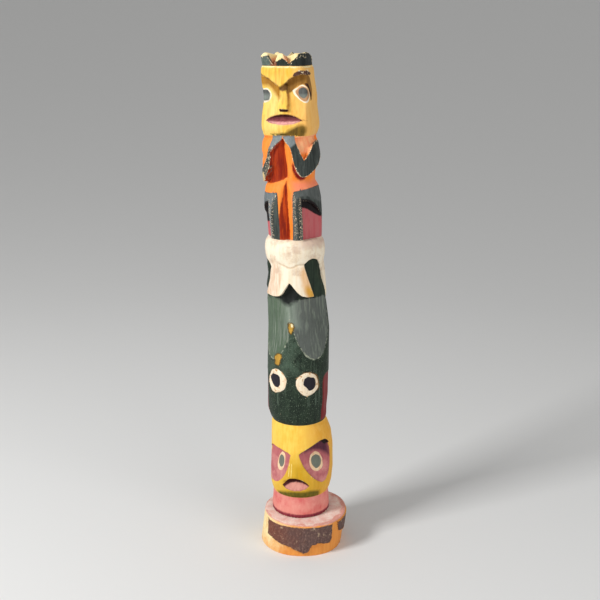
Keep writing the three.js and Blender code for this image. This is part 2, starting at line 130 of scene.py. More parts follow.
def soften_facets(mesh, at, rounds=18, crisp=0.3):
    """Blends the flat facets of a rounded surface into each other and leaves carved edges crisp:
    each face's direction is averaged only with neighbours that face nearly the same way, and then
    the vertices are moved until the faces have those directions."""
    corners = np.empty(len(mesh.loops), np.int64)
    edges = np.empty(len(mesh.loops), np.int64)
    mesh.loops.foreach_get("vertex_index", corners)
    mesh.loops.foreach_get("edge_index", edges)
    sides = np.empty(len(mesh.polygons), np.int64)
    mesh.polygons.foreach_get("loop_total", sides)
    face_of = np.repeat(np.arange(len(sides)), sides)
    order = np.argsort(edges, kind="stable")
    one, other = face_of[order][0::2], face_of[order][1::2]
    facing = np.empty(len(sides) * 3)
    mesh.polygons.foreach_get("normal", facing)
    facing = facing.reshape(-1, 3)
    for _ in range(rounds):
        alike = np.exp(-((facing[one] - facing[other]) ** 2).sum(1) / (2 * crisp**2))
        total = facing.copy()
        for axis in range(3):
            total[:, axis] += np.bincount(one, alike * facing[other, axis], len(sides))
            total[:, axis] += np.bincount(other, alike * facing[one, axis], len(sides))
        facing = total / np.linalg.norm(total, axis=1)[:, None]
    shared = np.bincount(corners, minlength=len(at))
    for _ in range(rounds // 2):
        middle = np.stack([np.bincount(face_of, at[corners, i]) / sides for i in range(3)], 1)
        off = ((middle[face_of] - at[corners]) * facing[face_of]).sum(1)
        for axis in range(3):
            at[:, axis] += np.bincount(corners, off * facing[face_of, axis], len(at)) / shared
    return at


# The billet isn't straight: its sideways shift and its extra turn at several heights.
WANDER = np.array([
    (33, -0.5, 0), (54, 0, -2), (72, 1.2, -4), (84, 2.2, -4), (110, 2.4, -4), (123, 0.4, -2.5),
    (136, -1.5, 0), (150, -0.5, 0), (172, 0.1, 0), (190, 1.5, 0), (214, 1.7, 0), (230, 0.5, 0),
    (245, -0.5, 0), (262, 0.5, 0), (290, 0.1, 0), (310, 0.3, 0), (324, -0.6, 0), (350, -1.1, 0),
    (364, -0.4, 0), (377, -1.7, 0), (388, -1.7, 0), (394, -0.9, 0), (412, -0.9, 0), (424, -0.2, 0),
    (431, -0.6, 0), (437, -2.1, 0), (449.5, -2.5, 0), (460.5, -3.2, 0),
])


def on_the_billet(at):
    """Angle in degrees from the front, height and distance from the axis of every point, on the
    billet as it was before it leant and turned."""
    height = at[:, 2]
    shift, extra = (np.interp(height, WANDER[:, 0], WANDER[:, column]) for column in (1, 2))
    x = at[:, 0] - FOOT[0] - LEAN * (height - BASE_TOP) / (POLE_TOP - BASE_TOP) - shift
    y = at[:, 1] - FOOT[1]
    turn = TWIST * np.clip((NECK - height) / (NECK - BASE_TOP), 0, None) + extra
    angle = np.degrees(np.arctan2(x, -y)) - turn
    return (angle + 180) % 360 - 180, height, np.hypot(x, y)


def drawn(*runs, steps=4):
    """A closed outline of (angle, height) runs. Each run is a smooth curve that goes on from the
    end of the one before, and runs meet at corners."""
    line, start = [], []
    for run in runs:
        run = [*start, *run]
        start = [run[-1]]
        knots = np.array([run[0], *run, run[-1]], float)
        for a, b, c, d in zip(knots, knots[1:], knots[2:], knots[3:]):
            for t in np.arange(steps) / steps:
                bend = 2 * a - 5 * b + 4 * c - d + t * (3 * b - a - 3 * c + d)
                line.append(b + 0.5 * t * (c - a + t * bend))
        line.append(np.array(run[-1], float))
    return np.array(line)


def looped(*runs):
    """An outline whose last run goes round to where the first began."""
    return drawn(*runs[:-1], [*runs[-1], runs[0][0]])


def mirrored(outline):
    """The same outline on the other side of the pole."""
    return outline * (-1, 1)


def inside(place, *outlines, skin=SKIN):
    """How far inside any of some outlines a point lies, in millimetres along the surface. It is
    negative outside them all."""
    reach = np.full(len(place[0]), -FAR)
    for outline in outlines:
        middle = (outline[:, 0].min() + outline[:, 0].max()) / 2
        u = ((place[0] - middle + 180) % 360 - 180) * math.radians(skin)
        ends = np.stack([(outline[:, 0] - middle) * math.radians(skin), outline[:, 1]], 1)
        near = (np.abs(u - ends[:, 0].mean()) < np.ptp(ends[:, 0]) + FAR) & (
            np.abs(place[1] - ends[:, 1].mean()) < np.ptp(ends[:, 1]) + FAR
        )
        u, v = u[near], place[1][near]
        closest = np.full(len(u), FAR**2)
        crossed = np.zeros(len(u), bool)
        for (x0, y0), (x1, y1) in zip(ends, np.roll(ends, -1, 0)):
            dx, dy = x1 - x0, y1 - y0
            if dx * dx + dy * dy < 1e-12:
                continue
            t = np.clip(((u - x0) * dx + (v - y0) * dy) / (dx * dx + dy * dy), 0, 1)
            closest = np.minimum(closest, (u - x0 - t * dx) ** 2 + (v - y0 - t * dy) ** 2)
            if dy:
                crossed ^= ((y0 > v) != (y1 > v)) & (u < x0 + (v - y0) * dx / dy)
        here = np.sqrt(closest) * np.where(crossed, 1, -1)
        reach[near] = np.maximum(reach[near], here)
    return reach


def between(height, low, high):
    """How far a point lies above one height and below another."""
    return np.clip(np.minimum(height - low, high - height), -FAR, FAR)


def flats(u, v, across, along, seed):
    """The shallow flats that a knife leaves side by side: 1 in the middle of each, 0 where two
    meet. u and v are places across and along the grain."""
    jitter = np.random.default_rng(seed).uniform(0.15, 0.85, (64, 64, 2))
    u, v = u / across, v / along
    nearest = np.full(len(u), 9.0)
    for i in (-1, 0, 1):
        for j in (-1, 0, 1):
            a, b = np.floor(u) + i, np.floor(v) + j
            spot = jitter[a.astype(int) % 64, b.astype(int) % 64]
            nearest = np.minimum(nearest, (a + spot[:, 0] - u) ** 2 + (b + spot[:, 1] - v) ** 2)
    return np.clip(1 - nearest / 0.6, 0, 1)


# What is painted or cut on the pole, as outlines in degrees from the front and millimetres of
# height. Both sides were done by eye, so they differ.
RIGHT_ARM = drawn([(-1, 396), (-1, 389.5)], [(6, 385.4), (12, 383.4), (16, 378), (17.6, 370),
    (21.4, 363), (28.4, 358)], [(36, 356), (45, 357.4), (56, 360), (70, 364), (92, 370), (108, 374),
    (114, 380)], [(108, 386), (90, 387), (72, 385.4), (62, 382), (55, 378.6), (40, 371.6)],
    [(33.6, 379.2), (28, 385.6), (23, 396)])
LEFT_ARM = drawn([(-3, 396), (-25, 396)], [(-29, 385), (-33.5, 380.4), (-37, 375), (-44, 370),
    (-55, 365.6), (-67, 362)], [(-78, 366), (-88, 373), (-98, 381), (-108, 384), (-114, 380)],
    [(-108, 372), (-98, 363), (-86, 355.4), (-74, 351.4), (-62, 350.2), (-52, 351.6)], [(-44, 356),
    (-35, 362.8), (-29.6, 369.6), (-27, 375), (-24, 380), (-3, 388.8)])
PAW_TOPS = (
    drawn([(-3, 391.6), (-25.6, 391.6), (-29.6, 384.8), (-34, 380.7), (-24, 380.6), (-20, 382),
        (-11, 385.2), (-3, 388)]),
    drawn([(-1, 391.6), (24, 391.6), (26, 386.6), (23.5, 384.6), (14, 382.4), (9, 384), (2, 385)]),
)
RIGHT_LEG = drawn([(9.6, 298), (11, 312), (13.4, 325), (14.5, 338), (17, 344)], [(34, 345.2),
    (74, 347), (112, 346)], [(112, 314), (100, 317), (84, 323), (66, 330), (47, 335.4), (33, 336)],
    [(32, 298)])
LEFT_LEG = drawn([(-18.6, 298), (-17, 312), (-15.6, 325), (-16.2, 336), (-18.4, 343)],
    [(-52, 341.4), (-112, 342)], [(-112, 313), (-100, 316), (-84, 321.6), (-70, 327), (-56, 331.4),
    (-42, 333)], [(-44, 298)])
BACK_LEGS = drawn([(111, 298), (111, 346), (180, 347), (249, 343), (249, 298)])
LEFT_LEG_LIT = looped([(-17, 345), (-23, 339), (-29, 334), (-34, 325), (-37, 311), (-38, 298)],
    [(-46, 298)], [(-46, 332), (-70, 326), (-100, 318), (-100, 345)])
RIGHT_LEG_LIT = looped([(17, 346), (34, 347), (98, 348)], [(98, 332)], [(70, 335), (48, 339.4),
    (34, 340), (24, 338), (20, 330), (18, 316), (16, 298)], [(9, 298)], [(11, 312), (13, 325),
    (14, 338)])
RIGHT_FLANK = drawn([(31, 297), (32, 338)], [(50, 337), (72, 331), (100, 319), (112, 316)],
    [(112, 297)], [(60, 297)])
RIGHT_HOLLOW = looped([(31, 329.8), (31, 338)], [(48, 337), (67, 332), (94, 321)], [(88, 319.4)],
    [(64, 325), (48, 328.2)])
LEFT_HOLLOW = drawn([(-41, 335), (-56, 333), (-72, 328), (-90, 321), (-90, 313), (-60, 316),
    (-42, 318)])
CHEST_SHADE = drawn([(-1.4, 390), (-20, 386), (-32, 374), (-50, 360), (-60, 356), (-56, 350),
    (-34, 350.2)], [(-13, 353), (2.2, 356.2)])
SHIN_SHADE = drawn([(2.4, 353.4), (-2.5, 350), (-6, 342), (-10, 334), (-14, 325), (-18.6, 314),
    (-20, 298)], [(2.4, 298)])
ELBOW_SHADE = looped([(14, 366), (17, 361), (24, 356.4), (34, 353.4), (46, 354), (54, 357.4)],
    [(54, 360)], [(36, 357.6), (24, 362), (18, 368)])
WORN_ELBOW = looped([(-70, 353), (-60, 349), (-50, 351), (-52, 357), (-60, 359)])
WORN_LINES = (
    drawn([(-20, 341), (-25, 335), (-30, 325), (-33, 311), (-34, 298)], [(-39, 298)], [(-38, 311),
        (-35, 325), (-30, 335), (-23, 341)]),
    drawn([(-38, 298), (-37, 332), (-47, 332), (-47, 298)]),
    drawn([(26, 298), (27, 334), (34, 335), (34, 298)]),
    drawn([(15, 298), (16, 338), (20, 338), (19, 298)]),
    drawn([(-34, 381), (-40, 372), (-52, 360), (-62, 352)], [(-52, 351)], [(-38, 360), (-29, 372),
        (-26, 381)]),
)
BELT_SHADE = (
    drawn([(-46, 302), (-46, 300.2), (-26, 299.6), (-16, 297.6), (-9, 298.4), (-4, 300.4),
        (2, 302)]),
    drawn([(10, 302), (12, 300.4), (22, 299.4), (34, 300), (36, 302)]),
)
RIGHT_WELL = drawn([(52, 236), (50, 249.6)], [(41, 263), (34.4, 273), (32, 279.6)], [(41, 283.2),
    (52, 284.2), (65, 281.8), (74, 277)], [(83, 263), (97, 244)], [(99, 236)])
LEFT_WELL = drawn([(-58, 236), (-56.5, 249.6)], [(-52.5, 256.5), (-49.5, 263), (-46, 270.5),
    (-43, 275.8)], [(-52, 279), (-64, 280.6), (-80, 280.4), (-96, 276)], [(-106, 262), (-114, 244)],
    [(-115, 236)])
TAIL_FORK = drawn([(-64, 236), (-64, 241), (-56.5, 249.8)], [(-26, 249.2), (-16, 251.4), (-8, 257),
    (0, 263.2)], [(10, 257.6), (20, 252.6), (31, 249.8), (50, 249.8)], [(58, 241), (58, 236)])
FORK_SHADE = looped([(-30, 250), (-22, 246.4), (-12, 243), (0, 242.4), (11, 245.4), (22, 248),
    (46, 249.4)], [(46, 252)], [(20, 256), (0, 266), (-16, 257)])
TAIL_CREASE = looped([(-21, 279.6), (-10, 278.5), (-1.7, 277.2), (3.7, 276.8), (11, 277.8),
    (18, 279.2), (31, 280)], [(31, 279.4)], [(18, 278.6), (11, 277.1), (3.7, 276.1), (-1.7, 276.5),
    (-10, 277.9)])
TAIL_STAIN = looped([(24, 277), (31.3, 277.4), (36.6, 270), (42.8, 260), (49, 250), (36, 250),
    (28, 259), (23.7, 267)])
TAIL_GOLD = looped([(34, 259), (43.6, 258), (49, 250), (38, 250), (33, 255)])
TAIL_BLUSH = drawn([(-56, 250), (-47, 268), (-40, 276), (-26, 276), (-20, 266), (-26, 250)])
RINGS = (
    looped([(-47.4, 178), (-35.7, 180.3), (-25.1, 179.8), (-15.8, 176.3), (-10.4, 172.3),
        (-11.3, 166.6), (-15.7, 162.2), (-25.7, 158.9), (-40.3, 157.1), (-50.4, 159.1),
        (-58.2, 163.5), (-58.8, 168.7), (-53.4, 173.3)]),
    looped([(14.6, 176.3), (21.3, 178.6), (31.3, 179.1), (41.4, 177.4), (49.1, 173.7),
        (52.4, 168.1), (52.6, 163.1), (45, 159.1), (32.1, 156.6), (24.1, 157), (14.2, 161.4),
        (8.9, 165.8), (7.9, 170.3), (10.3, 173.9)]),
)
RING_PUPILS = (
    looped([(-43.8, 175.1), (-32.8, 175.4), (-24.5, 173.8), (-23.5, 169.5), (-24.1, 166.2),
        (-29.7, 163), (-40, 163.7), (-46.7, 167.1), (-50.4, 170.6)]),
    looped([(24, 173.7), (30.1, 175.4), (35.8, 174.4), (41.8, 173.9), (46.1, 171.2), (46.7, 166.7),
        (43.9, 163.3), (37.9, 161.8), (32.9, 161.6), (28, 164.6), (22.6, 167.3), (22.4, 170.4)]),
)
RIM_WEAR = looped([(16, 176), (24, 182), (44, 181), (56, 174), (57, 162), (50, 160), (47, 168),
    (42, 174), (30, 177)])
SIDE_PANEL = drawn([(65.5, 128), (65.4, 150), (65.3, 161), (66.3, 169.6), (75.9, 172.4),
    (112, 172)], [(112, 128)])
RIGHT_SOCKET = looped([(8, 99), (20, 103.2), (33, 106.5), (45, 109.4), (56, 110.6)], [(66, 110),
    (76, 106), (79, 97)], [(77, 86), (73, 77), (66, 69.6)], [(56, 68.4), (44, 71.6), (32, 77.4),
    (21, 84), (13, 91.4)])
LEFT_SOCKET = looped([(-7, 98), (-14, 99.9), (-24, 101.2), (-36, 102.2), (-50, 102)], [(-64, 100.4),
    (-75, 97), (-79, 88)], [(-77, 76), (-64, 65)], [(-46, 65.6), (-32, 69), (-20, 76), (-12, 87)])
SOCKET_STEP_SHADOW = drawn([(9, 99.4), (20, 103.6), (33, 107), (45, 110), (56, 111.2), (67, 110.6),
    (78, 106)], [(72, 104), (62, 107.6), (48, 107.2), (32, 104.8), (9, 98.8)])
SOCKET_TOP_SHADOW = drawn([(20, 103), (33, 106), (45, 109), (56, 110), (66, 109.6), (78, 105)], [(78, 92)],
    [(66, 97), (52, 100), (34, 101), (20, 100)])
LOW_EYES = (
    looped([(-38.7, 96.1), (-28.2, 96), (-24.1, 92.5), (-25, 86.8), (-27.9, 81.6), (-35, 78.2),
        (-44.7, 78), (-50.9, 81.3), (-50.7, 87.1), (-47.4, 91.9)]),
    looped([(47.2, 99), (55.4, 97.1), (61.1, 92.8), (62.4, 88.5), (62, 84.1), (56.8, 80.6),
        (45.4, 79.7), (35.3, 82.8), (31.3, 86.9), (30.4, 91.5), (35, 96.7)]),
)
LOW_PUPILS = (
    looped([(-39.3, 92.8), (-30.8, 92.3), (-27.6, 89.1), (-29.6, 84.6), (-35.6, 82.1),
        (-43.4, 83.6), (-46.5, 86.8), (-44.5, 90.5)]),
    looped([(47.6, 95.5), (55.4, 93.4), (57.9, 89.4), (55.7, 85.3), (47, 83), (39.3, 86),
        (35.4, 90.1), (38, 94)]),
)
LOW_MOUTH = looped([(-24, 66.2), (-17, 70.4), (-7, 73.6), (6, 74.6), (18, 72.6), (29, 67.2)],
    [(20, 63.8), (4, 61.8), (-14, 62.8)])
LOW_TONGUE = looped([(-19, 65), (-12, 67.6), (-2, 69.4), (9.9, 69.6), (20, 68.4), (28, 66.8)],
    [(20, 63.8), (4, 61.8), (-14, 62.8)])
LOW_CHIN_SHADE = drawn([(-42, 56), (-18, 59.6), (0, 61), (16, 61), (34, 61.6), (50, 60)], [(54, 52)],
    [(-42, 52)])
LOW_LINES = (
    drawn([(-10.2, 90), (-10.8, 84), (-11.2, 77), (-10.4, 76.6), (-9.8, 84), (-9.2, 90)]),
    drawn([(-5.6, 90), (-5.9, 83), (-5.6, 76.5), (-4.8, 76.5), (-5, 83), (-4.6, 90)]),
)
MOUTH = looped([(-40, 403.9), (-34.4, 406.4), (-22.7, 408.3), (-12.8, 409), (3.7, 409.4),
    (19.2, 408.8), (28, 407.4), (34.7, 406), (40, 404.8)], [(30.7, 403.4), (22, 402.2), (2, 401.4),
    (-16, 401.6), (-30, 402.3)])
TONGUE = looped([(-38, 403.6), (-24, 403.4), (0, 403.5), (20, 404.0), (35, 404.4)], [(22, 402.2),
    (2, 401.4), (-16, 401.6)])
BROW_WASH_AND_SHADOW = looped([(-15.8, 430.6), (-8, 432.4), (1, 433.9), (9.3, 436.1), (20, 439.6), (30, 441.6),
    (42, 442.8), (60, 443.2)], [(70, 441), (76, 436), (76, 430), (68, 425), (60, 421)],
    [(58.4, 425.5), (56.5, 430.7), (50.9, 433.8), (45.5, 434.5), (37.5, 433.4), (27.2, 430.8),
    (19.8, 428.5), (12.6, 427.4), (7, 428), (5.1, 430.2), (-1.4, 429.4)])
BROW_ROOT_SHADOW = drawn([(-15.8, 431), (-8, 432.6), (1, 433.9), (9, 436), (12, 434), (9, 430), (5, 429.4),
    (-1.4, 429.4), (-15.8, 430.6)])
BROW = looped([(26, 441.4), (29, 444.3), (37, 445.6), (46.3, 446.3), (64.4, 445.6), (84, 443.8)],
    [(74, 441.8), (56.5, 442.4), (41.8, 442.6), (33, 441.8)])
LEFT_BROW_SHADOW_LINE = drawn([(-60, 442.9), (-48, 442.3), (-35, 440.2), (-25, 437.9), (-18, 435.3),
    (-13, 433.6)], [(-18, 434.5), (-25, 437), (-35, 439.3), (-48, 441.3), (-60, 442.2)])
GOLD_SHADE = drawn([(-60, 442), (-43, 441), (-30, 438.6), (-16.4, 434.4), (-9, 432.6), (-8, 426),
    (-13, 421), (-20, 424.6), (-29, 428.6), (-40, 432.6), (-60, 434)])
EYE = looped([(21.4, 429.3), (26.2, 430.7), (35.4, 432.1), (41.9, 433.6), (47.9, 434.3),
    (51, 433.2), (54.6, 430.7), (58.4, 427.7), (58, 424.4), (54.2, 420.6), (46.8, 419.4),
    (40.3, 420.5), (32.7, 423.1), (24.4, 426.4)])
EYE_TAN = looped([(27, 428.8), (33.3, 424.6), (40.5, 421.4), (46.4, 420.6), (52.4, 422.6),
    (56.2, 427.2), (53.2, 431), (47, 433.2), (40, 432.5)])
LEFT_EYE = drawn([(-62, 430), (-50.1, 430.9), (-46.5, 431.2), (-40.5, 429.3), (-35.5, 426),
    (-37, 422), (-42.4, 419.6), (-48, 419), (-62, 420)])
PUPILS = (
    looped([(46.5, 432.4), (50.7, 431.1), (52, 427.8), (48.2, 424.5), (42.8, 423.5), (37.3, 425.1),
        (35.1, 428.1), (38.7, 431)]),
    looped([(-58, 429.4), (-47.8, 430), (-42.9, 428.9), (-39.1, 426.3), (-39.8, 422.6),
        (-43.6, 420.9), (-58, 421.6)]),
)
EYE_STEP_PAINT_AND_SHADOW = drawn([(51, 435.6), (57, 435), (62.5, 431.6), (65.5, 427.6), (66, 421.6)], [(62, 421)],
    [(60.4, 427), (57.8, 430), (54, 432.6), (51, 434.4)])
MOUTH_CORNER = drawn([(34, 405.8), (46, 405.1), (46, 404.3), (34, 404.4)])
FOREHEAD_STAIN = looped([(13, 448.4), (22.8, 448.6), (24.6, 444.8), (20, 441), (14, 441),
    (11.6, 444.8)])
CHIN_SHADE = looped([(10, 397), (18.2, 398.6), (32, 401), (41, 400.4), (44, 396.7), (41, 392),
    (27, 391), (0, 391)])
CHIN_SHADOW_LINE = drawn([(-30, 393), (-12, 393.8), (2, 394.4), (20, 394.2), (36, 394), (36, 391),
    (-30, 391)])
NOSE_TIP_SHADOW = drawn([(-10, 411.9), (-9.4, 414.4), (8.6, 414.2), (10, 413), (9, 411.9)])
NOSE_SIDE_SHADE = drawn([(7.4, 431), (8.4, 422), (9.2, 413), (12, 413), (12.6, 422), (11, 431)])
WORN_TIP = looped([(-5, 225), (1.7, 226.6), (6.1, 224.2), (5.2, 221.4), (1.1, 217.8), (-3, 216.9),
    (-5.6, 219.9)])
WORN_CHEEK = looped([(-39.6, 189.6), (-37.3, 193.4), (-26.8, 196.4), (-21.8, 195.3), (-23.3, 191.6),
    (-25.9, 187.7), (-28.7, 184.3), (-35.2, 185.3)])
WORN_DOT = looped([(0, 225.6), (3.4, 225.8), (4.8, 223.4), (1.6, 222.4)])
# Where the dark paint of the crown ends above each angle, and the half width of the crown's sides.
CROWN_PAINT_TOP = np.array([
    (-60, 454.6), (-43.4, 454.9), (-33.6, 456.1), (-26.2, 455.1), (-21.2, 452), (-7.8, 451.2),
    (-3.4, 453), (4.6, 453.8), (10.7, 452.8), (16.4, 451), (28.1, 452), (34, 454.4), (41.6, 457),
    (50.6, 458.4), (100, 458),
])
CROWN_SIDES = np.array([(449.5, 19.8), (457.6, 20.4), (460.5, 18.9)])
# The whale's body: its radius at each height, and the two long scoops that a gouge took out of it,
# as angle, height, half width, half height and how fast each one runs out upwards.
WHALE_PROFILE = np.array([(22.5, 123), (24.2, 125), (26.4, 129), (27.7, 137), (28.5, 148),
    (28.8, 172), (28.6, 215), (27.9, 240), (23.8, 266), (23.4, 289)])
WHALE_RADIUS = 28
SCOOPS = ((45, 250, 50, 62, 0.02), (-46, 248, 50, 62, 0.02))
SCOOP_RADIUS, SCOOP_DEPTH = 29.5, 6


def inside_scoops(place):
    """How far inside the two long scoops on the whale's body a point lies."""
    angle, height, _ = place
    surface = np.interp(height, WHALE_PROFILE[:, 1], WHALE_PROFILE[:, 0])
    reach = np.full(len(angle), -FAR)
    for middle, centre, half_angle, half_height, run_out in SCOOPS:
        a, h = (angle - middle) / half_angle, (height - centre) / half_height
        deep = (surface - SCOOP_RADIUS + run_out * (height - centre)) / SCOOP_DEPTH
        across = 2 * a / half_angle / math.radians(WHALE_RADIUS)
        slope = np.hypot(across, 2 * h / half_height) + 1e-6
        reach = np.maximum(reach, np.clip((1 - a * a - h * h - deep * deep) / slope, -FAR, FAR))
    return reach


pole_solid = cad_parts["carved_pole"]
pole = fine_copy(pole_solid, "painted_pole", POLE_PITCH)
at = soften_facets(pole.data, points_of(pole.data))
move_points(pole.data, at, *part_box("carved_pole"))
place = on_the_billet(at)
angle, height, _ = place

# Cut into the wood: long knife flats with shorter ones among them, the rims of the eyes that were
# pressed in with a knife, and the crease across the tail.
around = np.radians(angle) * SKIN
cut = np.zeros(len(at))
for depth, across, along, seed in ((0.16, 5.4, 21, 3), (0.07, 2.6, 7, 8)):
    cut += depth * flats(around, height, across, along, seed)
for lines, depth, width in (
    (RINGS, 0.55, 0.9), (RING_PUPILS, 0.35, 0.7), (LOW_EYES, 0.4, 0.7), (LOW_PUPILS, 0.25, 0.6),
    ((EYE, LEFT_EYE), 0.4, 0.7), (PUPILS, 0.25, 0.6), ((TAIL_CREASE,), 0.4, 0.6),
):
    for line in lines:
        cut += depth * np.exp(-((inside(place, line) / width) ** 2))
# Beside the tail, on the left, the wood swells a little above the foot of the band.
SWELL, SWELL_FOOT, SWELL_EDGE = 1.6, 250, 4
swelling = np.minimum(inside(place, LEFT_WELL), height - SWELL_FOOT) / SWELL_EDGE
cut -= SWELL * np.clip(swelling, 0, 1)
move_points(pole.data, at - facing_of(pole.data) * cut[:, None], *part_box("carved_pole"))
melt_flat_faces(pole, POLE_FACES)

# Where the paints end. Each coat keeps, for every vertex, how far inside its outline it lies.
at = points_of(pole.data)
place = on_the_billet(at)
angle, height, distance = place


def spread(values, mesh, rounds):
    """Averages a value at every vertex with its neighbours, several times over."""
    ends = np.empty(len(mesh.edges) * 2, np.int64)
    mesh.edges.foreach_get("vertices", ends)
    one, other = ends.reshape(-1, 2).T
    count = 1 + np.bincount(ends, minlength=len(values))
    for _ in range(rounds):
        total = values + np.bincount(one, values[other], len(values))
        values = (total + np.bincount(other, values[one], len(values))) / count
    return values


def keep(mesh, name, values):
    """Stores a value at every vertex, for the paints to read."""
    stored_at = mesh.attributes.new(name, "FLOAT", "POINT")
    stored_at.data.foreach_set("value", values.astype(np.float32))


def within(*reaches):
    """Inside all of several zones at once."""
    return np.minimum.reduce(reaches)


def beyond(values, start, over=1.0):
    """How far a value has passed a start, as a reach: over is the value's change per millimetre."""
    return np.clip((values - start) / over, -FAR, FAR)


def scattered(zone, rarity):
    """A reach for marks that show only where their pattern peaks, and only inside a zone."""
    return np.minimum(zone, 0) - rarity


def marked(*outlines):
    """How far inside any of some outlines the pole's vertices lie."""
    return inside(place, *outlines)


CRISP = 20  # keeps a soft coat from spreading past the border of its zone


def kept_on(zone, *reaches):
    """Inside other borders, which stay soft, but never past the border of a zone."""
    return within(CRISP * zone, *reaches)


def only_on(zone, *outlines):
    """The same for outlines."""
    return kept_on(zone, marked(*outlines))


raised = distance - spread(distance, pole.data, 10)
edge_pull = 0.3 * raised  # draws the end of a paint to the carved edge that it runs along
square = (np.abs(np.cos(np.radians(angle))) ** 4 + np.abs(np.sin(np.radians(angle))) ** 4) ** -0.25
half_width = distance / square
# The crown's paint stops at its sides' top edge, a little higher round the back.
crown_face = np.interp(height, CROWN_SIDES[:, 0], CROWN_SIDES[:, 1])
crown_top = np.interp(angle, CROWN_PAINT_TOP[:, 0], CROWN_PAINT_TOP[:, 1]) + np.where(
    np.abs(angle - 20) > 80, 2.0, 0.0)
crown = between(height, CROWN_FOOT, POLE_TOP + OPEN)
# The two gaps between the crown's points that show in front.
notches = 0.35 * np.maximum(np.minimum(angle + 29, -16 - angle), np.minimum(angle - 8, 22 - angle))
head = between(height, NECK - 0.4, CROWN_FOOT)
figure = between(height, BAND_TOP - 0.4, NECK - 0.4)
whale = between(height, SNOUT_FOOT, BAND_FOOT + 0.5)
whale_wood = between(height, SNOUT_FOOT, BAND_TOP)
low_head = between(height, COLLAR_TOP, SNOUT_FOOT)
collar = between(height, BASE_TOP - OPEN, COLLAR_TOP)
belt = within(between(height, BAND_FOOT, BAND_TOP), -marked(RIGHT_WELL, LEFT_WELL, TAIL_FORK))
arms = marked(RIGHT_ARM, LEFT_ARM) - 0.5
legs = marked(RIGHT_LEG, LEFT_LEG, BACK_LEGS) + edge_pull
limbs = within(figure, np.maximum(arms, legs))
paws = within(limbs, marked(*PAW_TOPS))
flanks = marked(RIGHT_FLANK, mirrored(RIGHT_FLANK))
scoops = within(inside_scoops(place), whale + 2, 247 - height)
sockets = within(low_head, marked(RIGHT_SOCKET, LEFT_SOCKET) - edge_pull)
lit_side = (10 - angle) / 8  # the left of the front, which the lamp lights, is painted lighter
right_side = np.minimum((angle - 22) / 5, (165 - angle) / 5)

